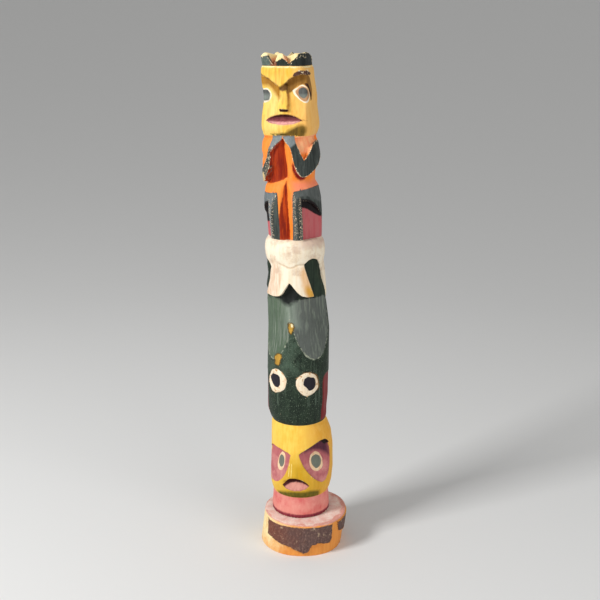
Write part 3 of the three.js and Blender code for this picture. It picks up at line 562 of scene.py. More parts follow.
# Each coat: name, colour, second colour of its brush streaks, soft border in millimetres, how far
# its border wanders, what it wanders with, and where it lies. Later coats go over earlier ones.
COATS = (
    # the crown
    ("crown_bare", (1.0, 0.92, 0.68), (0.97, 0.84, 0.58), 0.4, 0.6, "spots", crown),
    ("crown_blush", (0.90, 0.64, 0.48), (0.82, 0.52, 0.36), 0.8, 1.4, "spots",
     kept_on(crown, notches)),
    ("crown_green", (0.11, 0.13, 0.12), (0.20, 0.24, 0.21), 0.3, 1.8, "spots",
     kept_on(crown, half_width - crown_face + 2.2, crown_top + 2.2 - height)),
    ("crown_lit", (0.36, 0.41, 0.38), (0.44, 0.49, 0.46), 1.6, 2.6, "spots",
     kept_on(crown, half_width - crown_face + 1.4, crown_top - height + 1.4,
            beyond(-angle, 22, 3))),
    ("crown_notch", (0.46, 0.24, 0.14), (0.62, 0.36, 0.22), 1.0, 1.6, "spots",
     kept_on(crown, 2.0 - np.abs(angle + 19) / 3, 453.6 - height)),
    # the top head
    ("head_yellow", (0.96, 0.79, 0.33), (0.90, 0.66, 0.22), 0.2, 0.5, "spots", head),
    ("head_grain", (0.82, 0.58, 0.20), (0.88, 0.64, 0.26), 0.8, 5.0, "fibres",
     scattered(head, 0.9)),
    ("head_tan", (0.97, 0.76, 0.43), (0.94, 0.69, 0.34), 5.0, 5.0, "patches",
     kept_on(head, right_side)),
    # painted highlight: the left cheek, lighter yellow where the lamp falls on it
    ("left_cheek_highlight", (1.0, 0.88, 0.55), (0.98, 0.80, 0.44), 4.0, 4.0, "patches",
     kept_on(head, 2 - np.abs(angle + 26) / 5, 6 - np.abs(height - 414) / 3)),
    ("gold_shade", (0.62, 0.41, 0.05), (0.74, 0.53, 0.12), 2.0, 2.6, "patches",
     only_on(head, GOLD_SHADE)),
    # painted shadow: a dark line under the top head's chin, where it overhangs the figure
    ("chin_shadow_line", (0.30, 0.25, 0.07), (0.44, 0.36, 0.12), 1.0, 1.4, "patches",
     only_on(head, CHIN_SHADOW_LINE)),
    ("chin_shade", (0.36, 0.27, 0.07), (0.54, 0.41, 0.13), 1.6, 2.2, "patches",
     only_on(head, CHIN_SHADE)),
    ("forehead_stain", (0.97, 0.70, 0.20), (0.97, 0.78, 0.36), 1.4, 2.2, "patches",
     only_on(head, FOREHEAD_STAIN)),
    # painted shade down the right side of the top head's nose
    ("nose_side_shade", (0.74, 0.50, 0.20), (0.66, 0.42, 0.16), 1.0, 1.4, "spots",
     only_on(head, NOSE_SIDE_SHADE)),
    # a pale worn line along the head's top edge, also painted lighter as a highlight
    ("head_rim_wear_and_highlight", (0.99, 0.93, 0.72), (0.97, 0.88, 0.60), 0.5, 1.6, "spots",
     kept_on(head, height - 448.5)),
    # a brown wash under the right brow, painted darker as the brow's shadow as well
    ("brow_wash_and_shadow", (0.54, 0.37, 0.13), (0.66, 0.47, 0.20), 0.8, 1.2, "spots",
     only_on(head, BROW_WASH_AND_SHADOW)),
    # painted shadow under the point of the brow, at the top of the nose
    ("brow_root_shadow", (0.36, 0.23, 0.07), (0.46, 0.31, 0.11), 0.8, 1.0, "spots",
     only_on(head, BROW_ROOT_SHADOW)),
    ("brow", (0.27, 0.16, 0.13), (0.44, 0.30, 0.25), 0.3, 1.6, "spots", marked(BROW)),
    ("brow_chips", (0.96, 0.90, 0.76), (0.90, 0.80, 0.62), 0.3, 6.0, "spots",
     scattered(within(marked(BROW) + 0.4, height - 443.4), 0.9)),
    # painted shadow: a brown line along the carved edge of the left brow
    ("left_brow_shadow_line", (0.36, 0.22, 0.07), (0.54, 0.36, 0.13), 0.6, 1.4, "spots",
     marked(LEFT_BROW_SHADOW_LINE) + 0.4),
    # dark paint at the step outside the right eye, painted darker as the step's shadow too
    ("eye_step_paint_and_shadow", (0.20, 0.09, 0.04), (0.34, 0.18, 0.08), 0.3, 0.8, "spots", marked(EYE_STEP_PAINT_AND_SHADOW)),
    ("eye_white", (0.98, 0.93, 0.83), (0.96, 0.86, 0.72), 0.2, 0.4, "spots", marked(EYE, LEFT_EYE)),
    ("eye_tan", (0.72, 0.52, 0.34), (0.82, 0.62, 0.46), 0.4, 0.6, "spots", marked(EYE_TAN)),
    ("eye_grey", (0.28, 0.29, 0.28), (0.38, 0.39, 0.38), 0.2, 0.4, "spots", marked(*PUPILS)),
    ("eye_pale", (0.50, 0.53, 0.50), (0.44, 0.46, 0.44), 1.6, 1.6, "spots",
     within(marked(*PUPILS), 426 - height)),
    ("mouth_dark", (0.42, 0.16, 0.18), (0.55, 0.27, 0.29), 0.2, 0.3, "spots", marked(MOUTH)),
    # painted shadow under the upper lip, in the top of the mouth
    ("mouth_top_shadow", (0.24, 0.06, 0.06), (0.34, 0.10, 0.10), 1.2, 0.8, "spots",
     within(marked(MOUTH), height - 406.4)),
    ("mouth_pink", (0.95, 0.70, 0.66), (0.88, 0.58, 0.58), 0.9, 0.8, "spots", marked(TONGUE)),
    ("mouth_corner", (0.26, 0.12, 0.06), (0.40, 0.22, 0.12), 0.3, 0.5, "spots",
     marked(MOUTH_CORNER)),
    # painted shadow under the tip of the nose
    ("nose_tip_shadow", (0.22, 0.08, 0.03), (0.34, 0.15, 0.06), 0.3, 0.4, "spots", marked(NOSE_TIP_SHADOW)),
    # the seated figure
    ("body_orange", (0.98, 0.54, 0.19), (0.98, 0.60, 0.27), 0.2, 0.4, "spots", figure),
    ("body_salmon", (0.98, 0.58, 0.42), (0.96, 0.52, 0.38), 3.0, 3.0, "patches",
     kept_on(figure, np.maximum(beyond(angle, 17, 3), beyond(-angle, 100, 3)), 352 - height)),
    ("shoulder_salmon", (1.0, 0.74, 0.53), (0.98, 0.58, 0.40), 1.4, 1.4, "patches",
     kept_on(figure, height - 377, (angle - 26) / 2, (104 - angle) / 5)),
    # painted shade: deep red on the groove walls of the chest and shins that face away from the
    # light, the chest's also in the forearm's shadow
    ("body_red_shade", (0.52, 0.11, 0.0), (0.64, 0.19, 0.0), 0.6, 0.8, "spots",
     only_on(figure, CHEST_SHADE, SHIN_SHADE)),
    ("red_streaks", (0.88, 0.37, 0.06), (0.80, 0.30, 0.02), 0.8, 5.0, "fibres",
     scattered(only_on(figure, SHIN_SHADE), 0.7)),
    ("chest_streaks", (0.74, 0.27, 0.0), (0.64, 0.18, 0.0), 1.0, 5.0, "fibres",
     scattered(only_on(figure, CHEST_SHADE), 0.6)),
    # painted shadow under the right elbow
    ("elbow_red_shadow", (0.48, 0.05, 0.02), (0.66, 0.14, 0.04), 0.9, 1.0, "spots",
     only_on(figure, ELBOW_SHADE)),
    ("belt_shadow", (0.62, 0.22, 0.08), (0.78, 0.34, 0.14), 0.7, 0.9, "spots",
     only_on(figure, *BELT_SHADE)),
    ("flank", (0.74, 0.35, 0.37), (0.82, 0.44, 0.43), 0.2, 0.4, "spots",
     kept_on(figure, flanks - edge_pull)),
    ("flank_streaks", (0.74, 0.44, 0.44), (0.69, 0.38, 0.40), 1.2, 5.0, "fibres",
     scattered(kept_on(figure, flanks), 0.7)),
    ("limbs", (0.18, 0.20, 0.19), (0.27, 0.30, 0.28), 0.2, 0.5, "spots", limbs),
    ("limb_streaks", (0.36, 0.39, 0.37), (0.28, 0.31, 0.29), 0.8, 5.0, "fibres",
     scattered(limbs, 0.9)),
    # painted light: paler grey on the thigh tops that face up and on the shins' lit faces
    ("left_leg_lit", (0.45, 0.48, 0.49), (0.35, 0.37, 0.37), 0.9, 1.6, "fibres",
     only_on(limbs, LEFT_LEG_LIT)),
    ("right_leg_lit", (0.37, 0.39, 0.38), (0.27, 0.29, 0.28), 0.9, 1.6, "fibres",
     only_on(limbs, RIGHT_LEG_LIT)),
    # painted light: the tops of the paws, paler where they face up
    ("paw_tops_lit", (0.52, 0.55, 0.56), (0.42, 0.45, 0.45), 0.6, 1.0, "spots", paws),
    ("edge_dots", (0.90, 0.82, 0.70), (0.74, 0.62, 0.50), 0.4, 7.0, "grit",
     scattered(only_on(limbs, *WORN_LINES), 1.3)),
    ("worn_elbow", (0.92, 0.82, 0.60), (0.62, 0.48, 0.30), 0.8, 3.0, "spots",
     only_on(limbs, WORN_ELBOW)),
    # painted shadow: black in the hollows under the thighs
    ("hollow_shadows", (0.05, 0.03, 0.04), (0.10, 0.05, 0.05), 0.5, 0.6, "spots",
     only_on(figure, RIGHT_HOLLOW, LEFT_HOLLOW)),
    # the whale's body
    ("whale_green", (0.10, 0.15, 0.11), (0.18, 0.24, 0.18), 0.2, 0.4, "spots", whale_wood),
    # painted light: paler patches on the lit left of the whale
    ("whale_lit", (0.30, 0.37, 0.31), (0.23, 0.30, 0.24), 2.0, 7.0, "patches",
     scattered(kept_on(whale, height - 176, lit_side), 0.3)),
    ("whale_marks", (0.38, 0.44, 0.38), (0.30, 0.36, 0.31), 0.8, 6.0, "fibres",
     scattered(kept_on(whale, height - 146), 1.8)),
    ("whale_specks", (0.46, 0.52, 0.44), (0.36, 0.42, 0.34), 0.5, 7.0, "grit",
     scattered(kept_on(whale, height - 130), 2.1)),
    # painted light: the scoops face up, so they are painted lighter than the body
    ("left_scoop_lit", (0.34, 0.41, 0.33), (0.27, 0.33, 0.27), 0.4, 1.0, "spots",
     within(scoops, beyond(-angle, 0))),
    ("right_scoop_lit", (0.37, 0.39, 0.37), (0.30, 0.32, 0.30), 0.4, 1.0, "spots",
     within(scoops, beyond(angle, 0))),
    ("scoop_streaks", (0.54, 0.57, 0.52), (0.46, 0.50, 0.45), 0.9, 4.6, "fibres",
     scattered(scoops, 0.9)),
    ("scoop_rims", (0.62, 0.64, 0.56), (0.40, 0.44, 0.38), 0.3, 2.6, "spots",
     within(0.25 - np.abs(inside_scoops(place)), 234 - height)),
    # painted highlight down the middle of the whale's front, under the tail
    ("whale_top_highlight", (0.55, 0.59, 0.54), (0.42, 0.47, 0.42), 3.0, 4.0, "patches",
     kept_on(whale, 3.4 - np.abs(angle - 3) / 3.4, (height - 223) / 1.5)),
    ("fork_shade", (0.05, 0.07, 0.06), (0.10, 0.13, 0.11), 2.2, 2.0, "patches",
     within(marked(FORK_SHADE), marked(TAIL_FORK))),
    # the band and the tail
    ("belt_white", (0.97, 0.92, 0.83), (0.93, 0.84, 0.70), 0.2, 0.3, "spots", belt + 0.4 * raised),
    ("belt_dirt", (0.80, 0.70, 0.62), (0.88, 0.78, 0.66), 1.2, 6.0, "patches",
     scattered(kept_on(belt, height - 270), 0.8)),
    ("belt_mauve", (0.84, 0.73, 0.66), (0.90, 0.80, 0.70), 3.0, 4.0, "patches",
     kept_on(belt, height - 294, right_side)),
    ("tail_stain", (0.90, 0.71, 0.50), (0.94, 0.79, 0.62), 2.2, 3.4, "patches",
     only_on(belt, TAIL_STAIN)),
    ("tail_gold", (0.84, 0.60, 0.18), (0.90, 0.70, 0.34), 2.2, 2.6, "patches",
     only_on(belt, TAIL_GOLD)),
    ("tail_blush", (0.86, 0.70, 0.60), (0.80, 0.62, 0.48), 2.4, 5.0, "fibres",
     scattered(only_on(belt, TAIL_BLUSH), 0.2)),
    # painted shade in the carved crease across the tail
    ("tail_crease_shade", (0.72, 0.58, 0.42), (0.84, 0.70, 0.54), 1.0, 0.8, "spots", marked(TAIL_CREASE)),
    # the whale's face and sides
    ("worn_ragged", (0.40, 0.30, 0.11), (0.22, 0.20, 0.10), 0.5, 2.4, "spots",
     marked(WORN_TIP, WORN_CHEEK) + 0.6),
    ("worn_wood", (0.78, 0.60, 0.24), (0.50, 0.38, 0.12), 0.5, 2.4, "spots",
     marked(WORN_TIP, WORN_CHEEK) - 0.4),
    ("worn_dot", (0.99, 0.94, 0.76), (0.96, 0.84, 0.56), 0.4, 1.0, "spots", marked(WORN_DOT)),
    ("rim_wear", (0.44, 0.30, 0.14), (0.58, 0.42, 0.22), 0.4, 1.4, "spots",
     within(marked(RIM_WEAR), marked(RINGS[1]) + 0.9)),
    ("rings", (0.98, 0.92, 0.82), (0.95, 0.84, 0.70), 0.2, 0.6, "spots", marked(*RINGS)),
    ("ring_wear", (0.74, 0.56, 0.36), (0.84, 0.68, 0.50), 0.5, 6.0, "spots",
     scattered(marked(*RINGS), 1.2)),
    ("ring_pupils", (0.12, 0.10, 0.14), (0.16, 0.15, 0.17), 0.2, 0.4, "spots",
     marked(*RING_PUPILS)),
    ("side_panels", (0.46, 0.10, 0.11), (0.54, 0.15, 0.14), 0.2, 0.5, "spots",
     within(height - SNOUT_FOOT, marked(SIDE_PANEL, mirrored(SIDE_PANEL)))),
    # the lower head
    ("low_yellow", (0.98, 0.82, 0.36), (0.95, 0.73, 0.24), 0.2, 0.4, "spots", low_head),
    ("low_tan", (0.93, 0.67, 0.22), (0.96, 0.75, 0.36), 4.0, 4.0, "patches",
     kept_on(low_head, right_side - 1.6)),
    ("low_shade", (0.78, 0.60, 0.06), (0.86, 0.66, 0.14), 5.0, 4.0, "patches",
     kept_on(low_head, (92 - height) / 2, 4 - np.abs(angle - 10) / 10)),
    # painted shade: dark olive under the lower head's chin, where it turns under
    ("low_chin_shade", (0.36, 0.33, 0.06), (0.52, 0.44, 0.08), 1.6, 1.8, "patches",
     only_on(low_head, LOW_CHIN_SHADE)),
    ("sockets", (0.70, 0.38, 0.40), (0.80, 0.48, 0.47), 0.2, 0.5, "spots", sockets),
    ("socket_blush", (0.86, 0.60, 0.57), (0.78, 0.50, 0.48), 1.6, 6.0, "patches",
     scattered(kept_on(sockets, 88 - height), 0.2)),
    # painted shadow in the tops of the eye sockets, under the brow
    ("socket_top_shadows", (0.30, 0.13, 0.20), (0.42, 0.20, 0.26), 2.0, 1.6, "patches",
     only_on(sockets, SOCKET_TOP_SHADOW)),
    # painted shadow: a dark line along the step under the right brow
    ("socket_step_shadow", (0.10, 0.04, 0.04), (0.18, 0.08, 0.07), 0.3, 0.4, "spots", marked(SOCKET_STEP_SHADOW)),
    ("low_eyes", (0.96, 0.85, 0.70), (0.92, 0.70, 0.52), 0.2, 0.5, "spots", marked(*LOW_EYES)),
    ("low_pupils", (0.42, 0.44, 0.40), (0.50, 0.51, 0.45), 0.2, 0.4, "spots",
     marked(*LOW_PUPILS) + 0.5),
    # the lower head's mouth: dark paint, painted darker still as the shadow under its upper lip
    ("low_mouth_paint_and_shadow", (0.24, 0.06, 0.06), (0.36, 0.12, 0.12), 0.2, 0.3, "spots", marked(LOW_MOUTH)),
    ("low_tongue", (0.86, 0.60, 0.54), (0.76, 0.46, 0.42), 0.7, 0.8, "spots", marked(LOW_TONGUE)),
    # pale worn edges of the lower nose, also painted lighter as highlights
    ("low_nose_wear_and_highlight", (0.99, 0.92, 0.62), (0.98, 0.88, 0.52), 0.3, 0.3, "spots",
     only_on(low_head, *LOW_LINES)),
    # the collar
    ("collar", (0.86, 0.43, 0.41), (0.92, 0.57, 0.52), 0.2, 0.4, "spots", collar),
    ("collar_streaks", (0.94, 0.66, 0.60), (0.90, 0.56, 0.51), 1.8, 5.0, "patches",
     scattered(kept_on(collar, height - 36), 0.4)),
    # painted shade at the collar's foot, where it meets the log slice
    ("collar_foot_shadow", (0.46, 0.14, 0.20), (0.60, 0.24, 0.28), 0.8, 1.0, "spots",
     kept_on(collar, 36.6 - height)),
)


def keep_coats(mesh, coats):
    """Stores where every coat lies."""
    for name, *_, reach in coats:
        keep(mesh, name, reach)


keep_coats(pole.data, COATS)

# Paint is rubbed off proud edges: easily on the limbs, the crown and the whale, hardly elsewhere.
# The guard is how proud an edge has to be, in millimetres, before it loses its paint. Each zone's
# own guard holds from a little outside its border.
sheltered = np.maximum(marked(*RINGS, LEFT_WELL, RIGHT_HOLLOW, LEFT_HOLLOW), flanks)
guard = np.full(len(at), 0.34)
for zone, border, least in (
    (limbs, -0.6, 0.17), (crown, -0.6, 0.14), (whale, -0.6, 0.18), (belt, -0.6, 0.22),
    (sheltered, -1.5, 0.4),
):
    guard = np.where(zone > border, least, guard)
mean = np.stack([spread(at[:, axis], pole.data, 5) for axis in range(3)], 1)
proud = ((at - mean) * facing_of(pole.data)).sum(1)
keep(pole.data, "proud", proud - guard)


def add(tree, kind, inputs=None, **settings):
    """Adds a node. Inputs are values or sockets to link from, and settings its own properties."""
    node = tree.nodes.new(kind)
    for name, value in settings.items():
        setattr(node, name, value)
    for name, value in (inputs or {}).items():
        if isinstance(value, bpy.types.NodeSocket):
            tree.links.new(value, node.inputs[name])
        else:
            node.inputs[name].default_value = value
    return node


def sum_of(tree, operation, first, second=0.0, third=0.0, clamp=False):
    """One step of arithmetic."""
    values = {0: first, 1: second, 2: third}
    return add(tree, "ShaderNodeMath", values, operation=operation, use_clamp=clamp).outputs[0]


def blend_of(tree, amount, first, second):
    """Two colours mixed."""
    colours = {0: amount, 6: first, 7: second}
    return add(tree, "ShaderNodeMix", colours, data_type="RGBA").outputs[2]


def noise(tree, place, per_metre, detail, roughness=0.5):
    """A seeded cloudy pattern from 0 to 1, with a number of blots to the metre."""
    return add(tree, "ShaderNodeTexNoise", {
        "Vector": place, "Scale": per_metre, "Detail": detail, "Roughness": roughness,
    }).outputs["Fac"]


def range_of(tree, value, low, high, to_low=0.0, to_high=1.0):
    """A value taken from one range to another and held within it."""
    return add(tree, "ShaderNodeMapRange", {
        "Value": value, "From Min": low, "From Max": high, "To Min": to_low, "To Max": to_high,
    }).outputs["Result"]


def stored(tree, name):
    """The values kept at the vertices under a name."""
    return add(tree, "ShaderNodeAttribute", attribute_name=name).outputs[2]


def tint(red, green, blue):
    """A colour as it looks, in the linear values that shaders take."""
    return (*(c / 12.92 if c <= 0.04045 else ((c + 0.055) / 1.055) ** 2.4
              for c in (red, green, blue)), 1.0)


def new_group(name, inputs, outputs):
    """An empty shader node group with named sockets, given as name: kind."""
    tree = bpy.data.node_groups.new(name, "ShaderNodeTree")
    for side, sockets in (("INPUT", inputs), ("OUTPUT", outputs)):
        for label, kind in sockets.items():
            tree.interface.new_socket(label, in_out=side, socket_type="NodeSocket" + kind)
    return tree, tree.nodes.new("NodeGroupInput").outputs, tree.nodes.new("NodeGroupOutput").inputs


def brushed_coat():
    """One coat of paint over what is under it. Its border wanders and its brush streaks show."""
    tree, given, result = new_group("brushed coat", {
        "Under": "Color", "Paint": "Color", "Streak Paint": "Color", "Reach": "Float",
        "Wander": "Float", "Softness": "Float", "Streaks": "Float",
    }, {"Color": "Color"})
    reach = sum_of(tree, "ADD", given["Reach"], given["Wander"])
    reach = sum_of(tree, "DIVIDE", reach, given["Softness"])
    mask = sum_of(tree, "MULTIPLY_ADD", reach, 0.5, 0.5, clamp=True)
    paint = blend_of(tree, given["Streaks"], given["Paint"], given["Streak Paint"])
    tree.links.new(blend_of(tree, mask, given["Under"], paint), result["Color"])
    return tree


def grain():
    """The fibres of the wood, long along its own Z: pale and dark lines, and finer pores."""
    tree, given, result = new_group(
        "grain", {"Place": "Vector", "Fineness": "Float", "Stretch": "Float"},
        {"Fibres": "Float", "Pores": "Float"},
    )
    shrink = add(tree, "ShaderNodeCombineXYZ", {"X": 1.0, "Y": 1.0, "Z": given["Stretch"]})
    long_way = add(tree, "ShaderNodeVectorMath", {0: given["Place"], 1: shrink.outputs[0]},
                   operation="MULTIPLY").outputs[0]
    finer = sum_of(tree, "MULTIPLY", given["Fineness"], 3.4)
    tree.links.new(noise(tree, long_way, given["Fineness"], 4.0, 0.62), result["Fibres"])
    tree.links.new(noise(tree, long_way, finer, 2.0), result["Pores"])
    return tree


def rubbed_edges():
    """Where hands and time have rubbed the paint off: proud edges, broken up by a pattern."""
    tree, given, result = new_group(
        "rubbed edges", {"Proud": "Float", "Spread": "Float", "Breaks": "Float"}, {"Mask": "Float"},
    )
    over = sum_of(tree, "MINIMUM", sum_of(tree, "DIVIDE", given["Proud"], given["Spread"]), 0.4)
    breaks = sum_of(tree, "MULTIPLY", sum_of(tree, "SUBTRACT", given["Breaks"], 0.5), 4.0)
    tree.links.new(sum_of(tree, "ADD", over, breaks, clamp=True), result["Mask"])
    return tree


coat_group, grain_group, rubbed_group = brushed_coat(), grain(), rubbed_edges()


def paint_over(tree, colour, coats, patterns, streaks):
    """Lays coats on a colour, one over the other. Patterns run from -0.5 to 0.5."""
    for name, fresh, streaked, soft, wandering, pattern, _ in coats:
        moved = sum_of(tree, "MULTIPLY", patterns[pattern], wandering * 2)
        colour = add(tree, "ShaderNodeGroup", {
            "Under": colour, "Paint": tint(*fresh), "Streak Paint": tint(*streaked),
            "Reach": stored(tree, name), "Wander": moved, "Softness": soft, "Streaks": streaks,
        }, node_tree=coat_group, label=name).outputs["Color"]
    return colour


def new_material(name):
    """A material, its tree, its shader, and the place on the piece that patterns follow."""
    made = bpy.data.materials.new(name)
    made.use_nodes = True
    tree = made.node_tree
    spot = add(tree, "ShaderNodeTexCoord").outputs["Object"]
    return made, tree, tree.nodes["Principled BSDF"], spot


def raise_grain(tree, shader, relief, strength, height):
    """Gives the surface a fine relief, of a height in metres."""
    bump = add(tree, "ShaderNodeBump", {"Strength": strength, "Distance": height, "Height": relief})
    tree.links.new(bump.outputs["Normal"], shader.inputs["Normal"])


def finish_surface(piece, material):
    """Shades a piece smoothly and gives it its one material."""
    for polygon in piece.data.polygons:
        polygon.use_smooth = True
    piece.data.materials.clear()
    piece.data.materials.append(material)


BARE, BARE_DARK, RUBBED = (0.93, 0.80, 0.56), (0.80, 0.60, 0.38), (0.95, 0.87, 0.72)
paint, tree, shader, spot = new_material("painted_wood")
wood = add(tree, "ShaderNodeGroup", {"Place": spot, "Fineness": 420.0, "Stretch": 0.07},
           node_tree=grain_group).outputs
blotches = noise(tree, spot, 95.0, 5.0, 0.65)
streaks = range_of(tree, wood["Fibres"], 0.38, 0.66)
brushed = sum_of(tree, "MULTIPLY_ADD", blotches, 1.6, -0.8)
brushed = sum_of(tree, "MULTIPLY_ADD", streaks, 0.7, brushed, clamp=True)
patterns = {
    "spots": noise(tree, spot, 330.0, 3.0, 0.6), "fibres": wood["Fibres"], "patches": blotches,
    "grit": noise(tree, spot, 1200.0, 2.0, 0.6),
}
patterns = {name: sum_of(tree, "SUBTRACT", value, 0.5) for name, value in patterns.items()}
colour = blend_of(tree, wood["Fibres"], tint(*BARE), tint(*BARE_DARK))
colour = paint_over(tree, colour, COATS, patterns, brushed)
rubbed = add(tree, "ShaderNodeGroup", {
    "Proud": stored(tree, "proud"), "Spread": 0.08, "Breaks": noise(tree, spot, 700.0, 2.0),
}, node_tree=rubbed_group).outputs["Mask"]
tree.links.new(blend_of(tree, rubbed, colour, tint(*RUBBED)), shader.inputs["Base Color"])
tree.links.new(range_of(tree, blotches, 0.0, 1.0, 0.42, 0.72), shader.inputs["Roughness"])
shader.inputs["Specular IOR Level"].default_value = 0.22
relief = sum_of(tree, "MULTIPLY_ADD", wood["Pores"], 0.5, wood["Fibres"])
raise_grain(tree, shader, relief, 0.35, 0.3 * MM)
finish_surface(pole, paint)
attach(pole, "root")
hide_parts("carved_pole")

# ---------------------------------------------------------------- the log slice
# A slice sawn from a small log. Its bark is left in patches and the bare wood shows between them.
# The sawn top was brushed with the same thin whitish paint, now scratched, and the pole is fixed
# to it from below.
BARK = 1.6  # how far the bark stands out from the bare wood
LOG_MIDDLE, LOG_RADIUS = (-0.224, -0.49), 40
LOG_FACES, LOG_PITCH = 130000, 0.55
# The patches of bark are outlined in degrees from the front and millimetres of height.
BARK_PATCHES = (
    drawn([(-49, 30), (-46, 15)], [(-32.4, 13.2), (-16, 10.3), (0, 7.4), (9, 4.4), (15, 2.8)],
        [(21.6, 5.2), (27, 11.5)], [(37, 12.2), (52, 11)], [(56.4, 13.6), (57, 30.8)], [(35, 30.6)],
        [(15, 30.2), (-7, 30.2), (-30, 30)]),
    drawn([(65.5, 30.4), (69, 19.6)], [(81, 16.6), (116, 9)], [(128, 30)], [(98, 30)]),
    drawn([(150, 4), (188, 3)], [(226, 4)], [(238, 16), (232, 30.4)], [(192, 31)], [(152, 30.8)]),
)
# How deep the bark's furrows, the knife flats, the saw's scratches and the worn rim go.
FURROWS, KNIFE_FLATS, SCRATCHES, WORN_RIM = 0.9, 0.1, 0.12, 0.35


def on_the_log(at):
    """Angle in degrees from the front, height and distance from the slice's middle."""
    x, y = at[:, 0] - LOG_MIDDLE[0], at[:, 1] - LOG_MIDDLE[1]
    return np.degrees(np.arctan2(x, -y)), at[:, 2], np.hypot(x, y)


def uneven(at, size, seed):
    """Smooth random values between -1 and 1 that change over a size, at points in space."""
    at = at / size
    base = np.floor(at).astype(int)
    part = at - base
    part = part * part * (3 - 2 * part)
    table = np.random.default_rng(seed).uniform(-1, 1, (32, 32, 32))
    total = 0
    for i in (0, 1):
        for j in (0, 1):
            for k in (0, 1):
                corner = table[tuple((base + (i, j, k)).T % 32)]
                total = total + corner * np.prod(np.abs(1 - np.array((i, j, k)) - part), axis=1)
    return total


def bark_at(at):
    """How far inside the ragged patches of bark a point lies."""
    patches = inside(on_the_log(at), *BARK_PATCHES, skin=LOG_RADIUS)
    return patches + 0.5 * uneven(at, 3.2, 5) + 0.3 * uneven(at, 1.3, 6) - 0.3


log_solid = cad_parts["log_slice_base"]
log = fine_copy(log_solid, "log_slice", LOG_PITCH)
at = soften_facets(log.data, points_of(log.data), rounds=10)
place = on_the_log(at)
angle, height, distance = place
out = facing_of(log.data)
on_side = np.clip(1 - np.abs(out[:, 2]) * 1.6, 0, 1)
bark = np.clip(bark_at(at) / 0.6, 0, 1)
ridges = np.abs(uneven(at * (1, 1, 0.3), 2.0, 11)) + 0.6 * np.abs(uneven(at * (1, 1, 0.5), 0.9, 12))
near_bark = inside(place, *BARK_PATCHES, skin=LOG_RADIUS) > -0.2
knife = flats(np.radians(angle) * LOG_RADIUS, height, across=3.2, along=12, seed=4)
cut = bark * (FURROWS * np.clip(ridges, 0, 1)) * on_side
cut += (1 - bark) * near_bark * BARK * on_side
cut += (1 - bark) * KNIFE_FLATS * knife * on_side
flat_top = np.clip(out[:, 2] * 2 - 1, 0, 1) * (distance > 30)
cut += SCRATCHES * flat_top * (0.5 + 0.5 * uneven(at * (1, 0.2, 1), 1.6, 21))
rim = np.clip(1 - (BASE_TOP - height) / 2.2, 0, 1) * np.clip((distance - 36) / 2, 0, 1)
cut += WORN_RIM * rim * (0.5 + 0.5 * uneven(at, 5, 23))
move_points(log.data, at - out * cut[:, None], *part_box("log_slice_base"))
melt_flat_faces(log, LOG_FACES)

at = points_of(log.data)
angle, height, distance = on_the_log(at)
bark = bark_at(at)
rim = between(height, BASE_TOP - 1.8, BASE_TOP + OPEN)
LOG_COATS = (
    ("pale_wood", (0.98, 0.90, 0.68), (0.96, 0.78, 0.46), 4.0, 6.0, "patches",
     np.clip(within(-20 - angle, angle + 160) / 8, -6, 3) - np.clip((14 - height) / 4, 0, 3)),
    ("rim_paint", (0.86, 0.60, 0.54), (0.93, 0.76, 0.70), 0.5, 1.4, "patches", rim),
    ("sawn_top", (0.96, 0.89, 0.84), (0.91, 0.74, 0.68), 1.0, 2.4, "patches",
     within(rim - 1.4, (36.6 - distance) + 3 * uneven(at, 7, 31))),
    ("bark", (0.37, 0.27, 0.25), (0.55, 0.43, 0.38), 0.3, 0.5, "patches", bark),
    ("bark_red", (0.44, 0.24, 0.18), (0.56, 0.36, 0.28), 5.0, 6.0, "patches",
     kept_on(bark, (-10 - angle) / 6, (angle + 100) / 6)),
    ("bark_pale", (0.76, 0.66, 0.54), (0.62, 0.50, 0.42), 0.8, 9.0, "patches",
     scattered(bark, 2.6)),
)
keep_coats(log.data, LOG_COATS)

SAWN, SAWN_DARK = (0.97, 0.68, 0.32), (0.84, 0.47, 0.16)
wood_and_bark, tree, shader, spot = new_material("log_wood")
wood = add(tree, "ShaderNodeGroup", {"Place": spot, "Fineness": 380.0, "Stretch": 0.12},
           node_tree=grain_group).outputs
patterns = {"patches": sum_of(tree, "SUBTRACT", noise(tree, spot, 120.0, 5.0, 0.65), 0.5)}
flecks = noise(tree, spot, 520.0, 3.0, 0.7)
colour = blend_of(tree, wood["Fibres"], tint(*SAWN), tint(*SAWN_DARK))
colour = paint_over(tree, colour, LOG_COATS, patterns,
                    range_of(tree, flecks, 0.5, 0.72))
tree.links.new(colour, shader.inputs["Base Color"])
shader.inputs["Roughness"].default_value = 0.8
raise_grain(tree, shader, flecks, 0.4, 0.4 * MM)
finish_surface(log, wood_and_bark)
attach(log, "root")
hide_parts("log_slice_base")

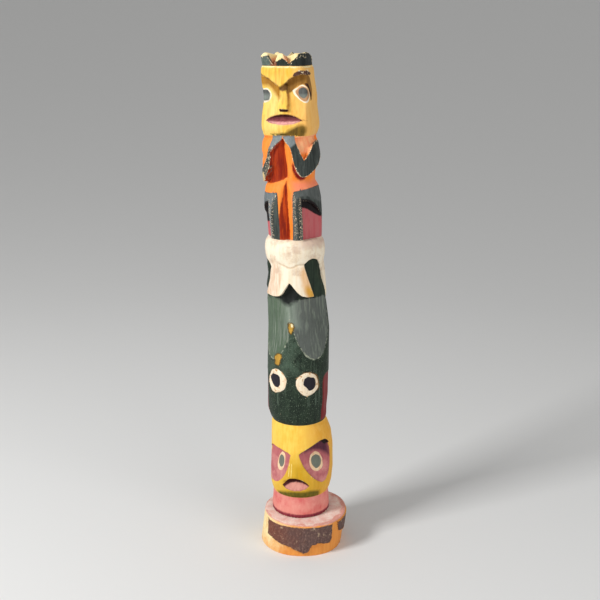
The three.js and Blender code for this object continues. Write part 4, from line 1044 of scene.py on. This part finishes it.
# ---------------------------------------------------------------- floor and light
# A plain pale table top whose far edges sweep up into a wall all round without a crease, one broad
# lamp high on the left, a weak one on the right and an even pale room.
FLAT_RADIUS, RIM_RADIUS, RISE, FLOOR_SIDES, FLOOR_RINGS = 0.9, 6.5, 0.09, 96, 40
LAMPS_AIM = Vector((0, 0, 0.22))  # the middle of the pole
floor_mesh = bpy.data.meshes.new("floor")
surface = bmesh.new()
turns = [math.tau * step / FLOOR_SIDES for step in range(FLOOR_SIDES)]
rings = [[surface.verts.new((r * math.sin(turn), r * math.cos(turn), RISE * (r - FLAT_RADIUS) ** 2))
          for turn in turns] for r in np.linspace(FLAT_RADIUS, RIM_RADIUS, FLOOR_RINGS)]
surface.faces.new(reversed(rings[0])).smooth = True
for low, high in zip(rings, rings[1:]):
    for side in range(FLOOR_SIDES):
        after = (side + 1) % FLOOR_SIDES
        surface.faces.new((low[side], low[after], high[after], high[side])).smooth = True
surface.to_mesh(floor_mesh)
surface.free()
floor = bpy.data.objects.new("floor", floor_mesh)
bpy.context.scene.collection.objects.link(floor)
pale = bpy.data.materials.new("pale_floor")
pale.use_nodes = True
shader = pale.node_tree.nodes["Principled BSDF"]
shader.inputs["Base Color"].default_value = tint(0.90, 0.90, 0.895)
shader.inputs["Roughness"].default_value = 0.9
floor_mesh.materials.append(pale)

for name, lamp_at, size, watts in (
    ("key_light", (-0.85, -0.95, 1.1), 0.4, 19.0),
    ("fill_light", (1.1, -0.7, 0.6), 0.8, 5.0),
):
    lamp = bpy.data.objects.new(name, bpy.data.lights.new(name, "AREA"))
    lamp.data.size = size
    lamp.data.energy = watts
    lamp.location = lamp_at
    lamp.rotation_euler = (LAMPS_AIM - lamp.location).to_track_quat("-Z", "Y").to_euler()
    bpy.context.scene.collection.objects.link(lamp)
room = bpy.data.worlds.new("room")
room.use_nodes = True
room.node_tree.nodes["Background"].inputs["Color"].default_value = (1, 1, 1, 1)
room.node_tree.nodes["Background"].inputs["Strength"].default_value = 0.38
bpy.context.scene.world = room
bpy.context.scene.view_settings.view_transform = "Standard"
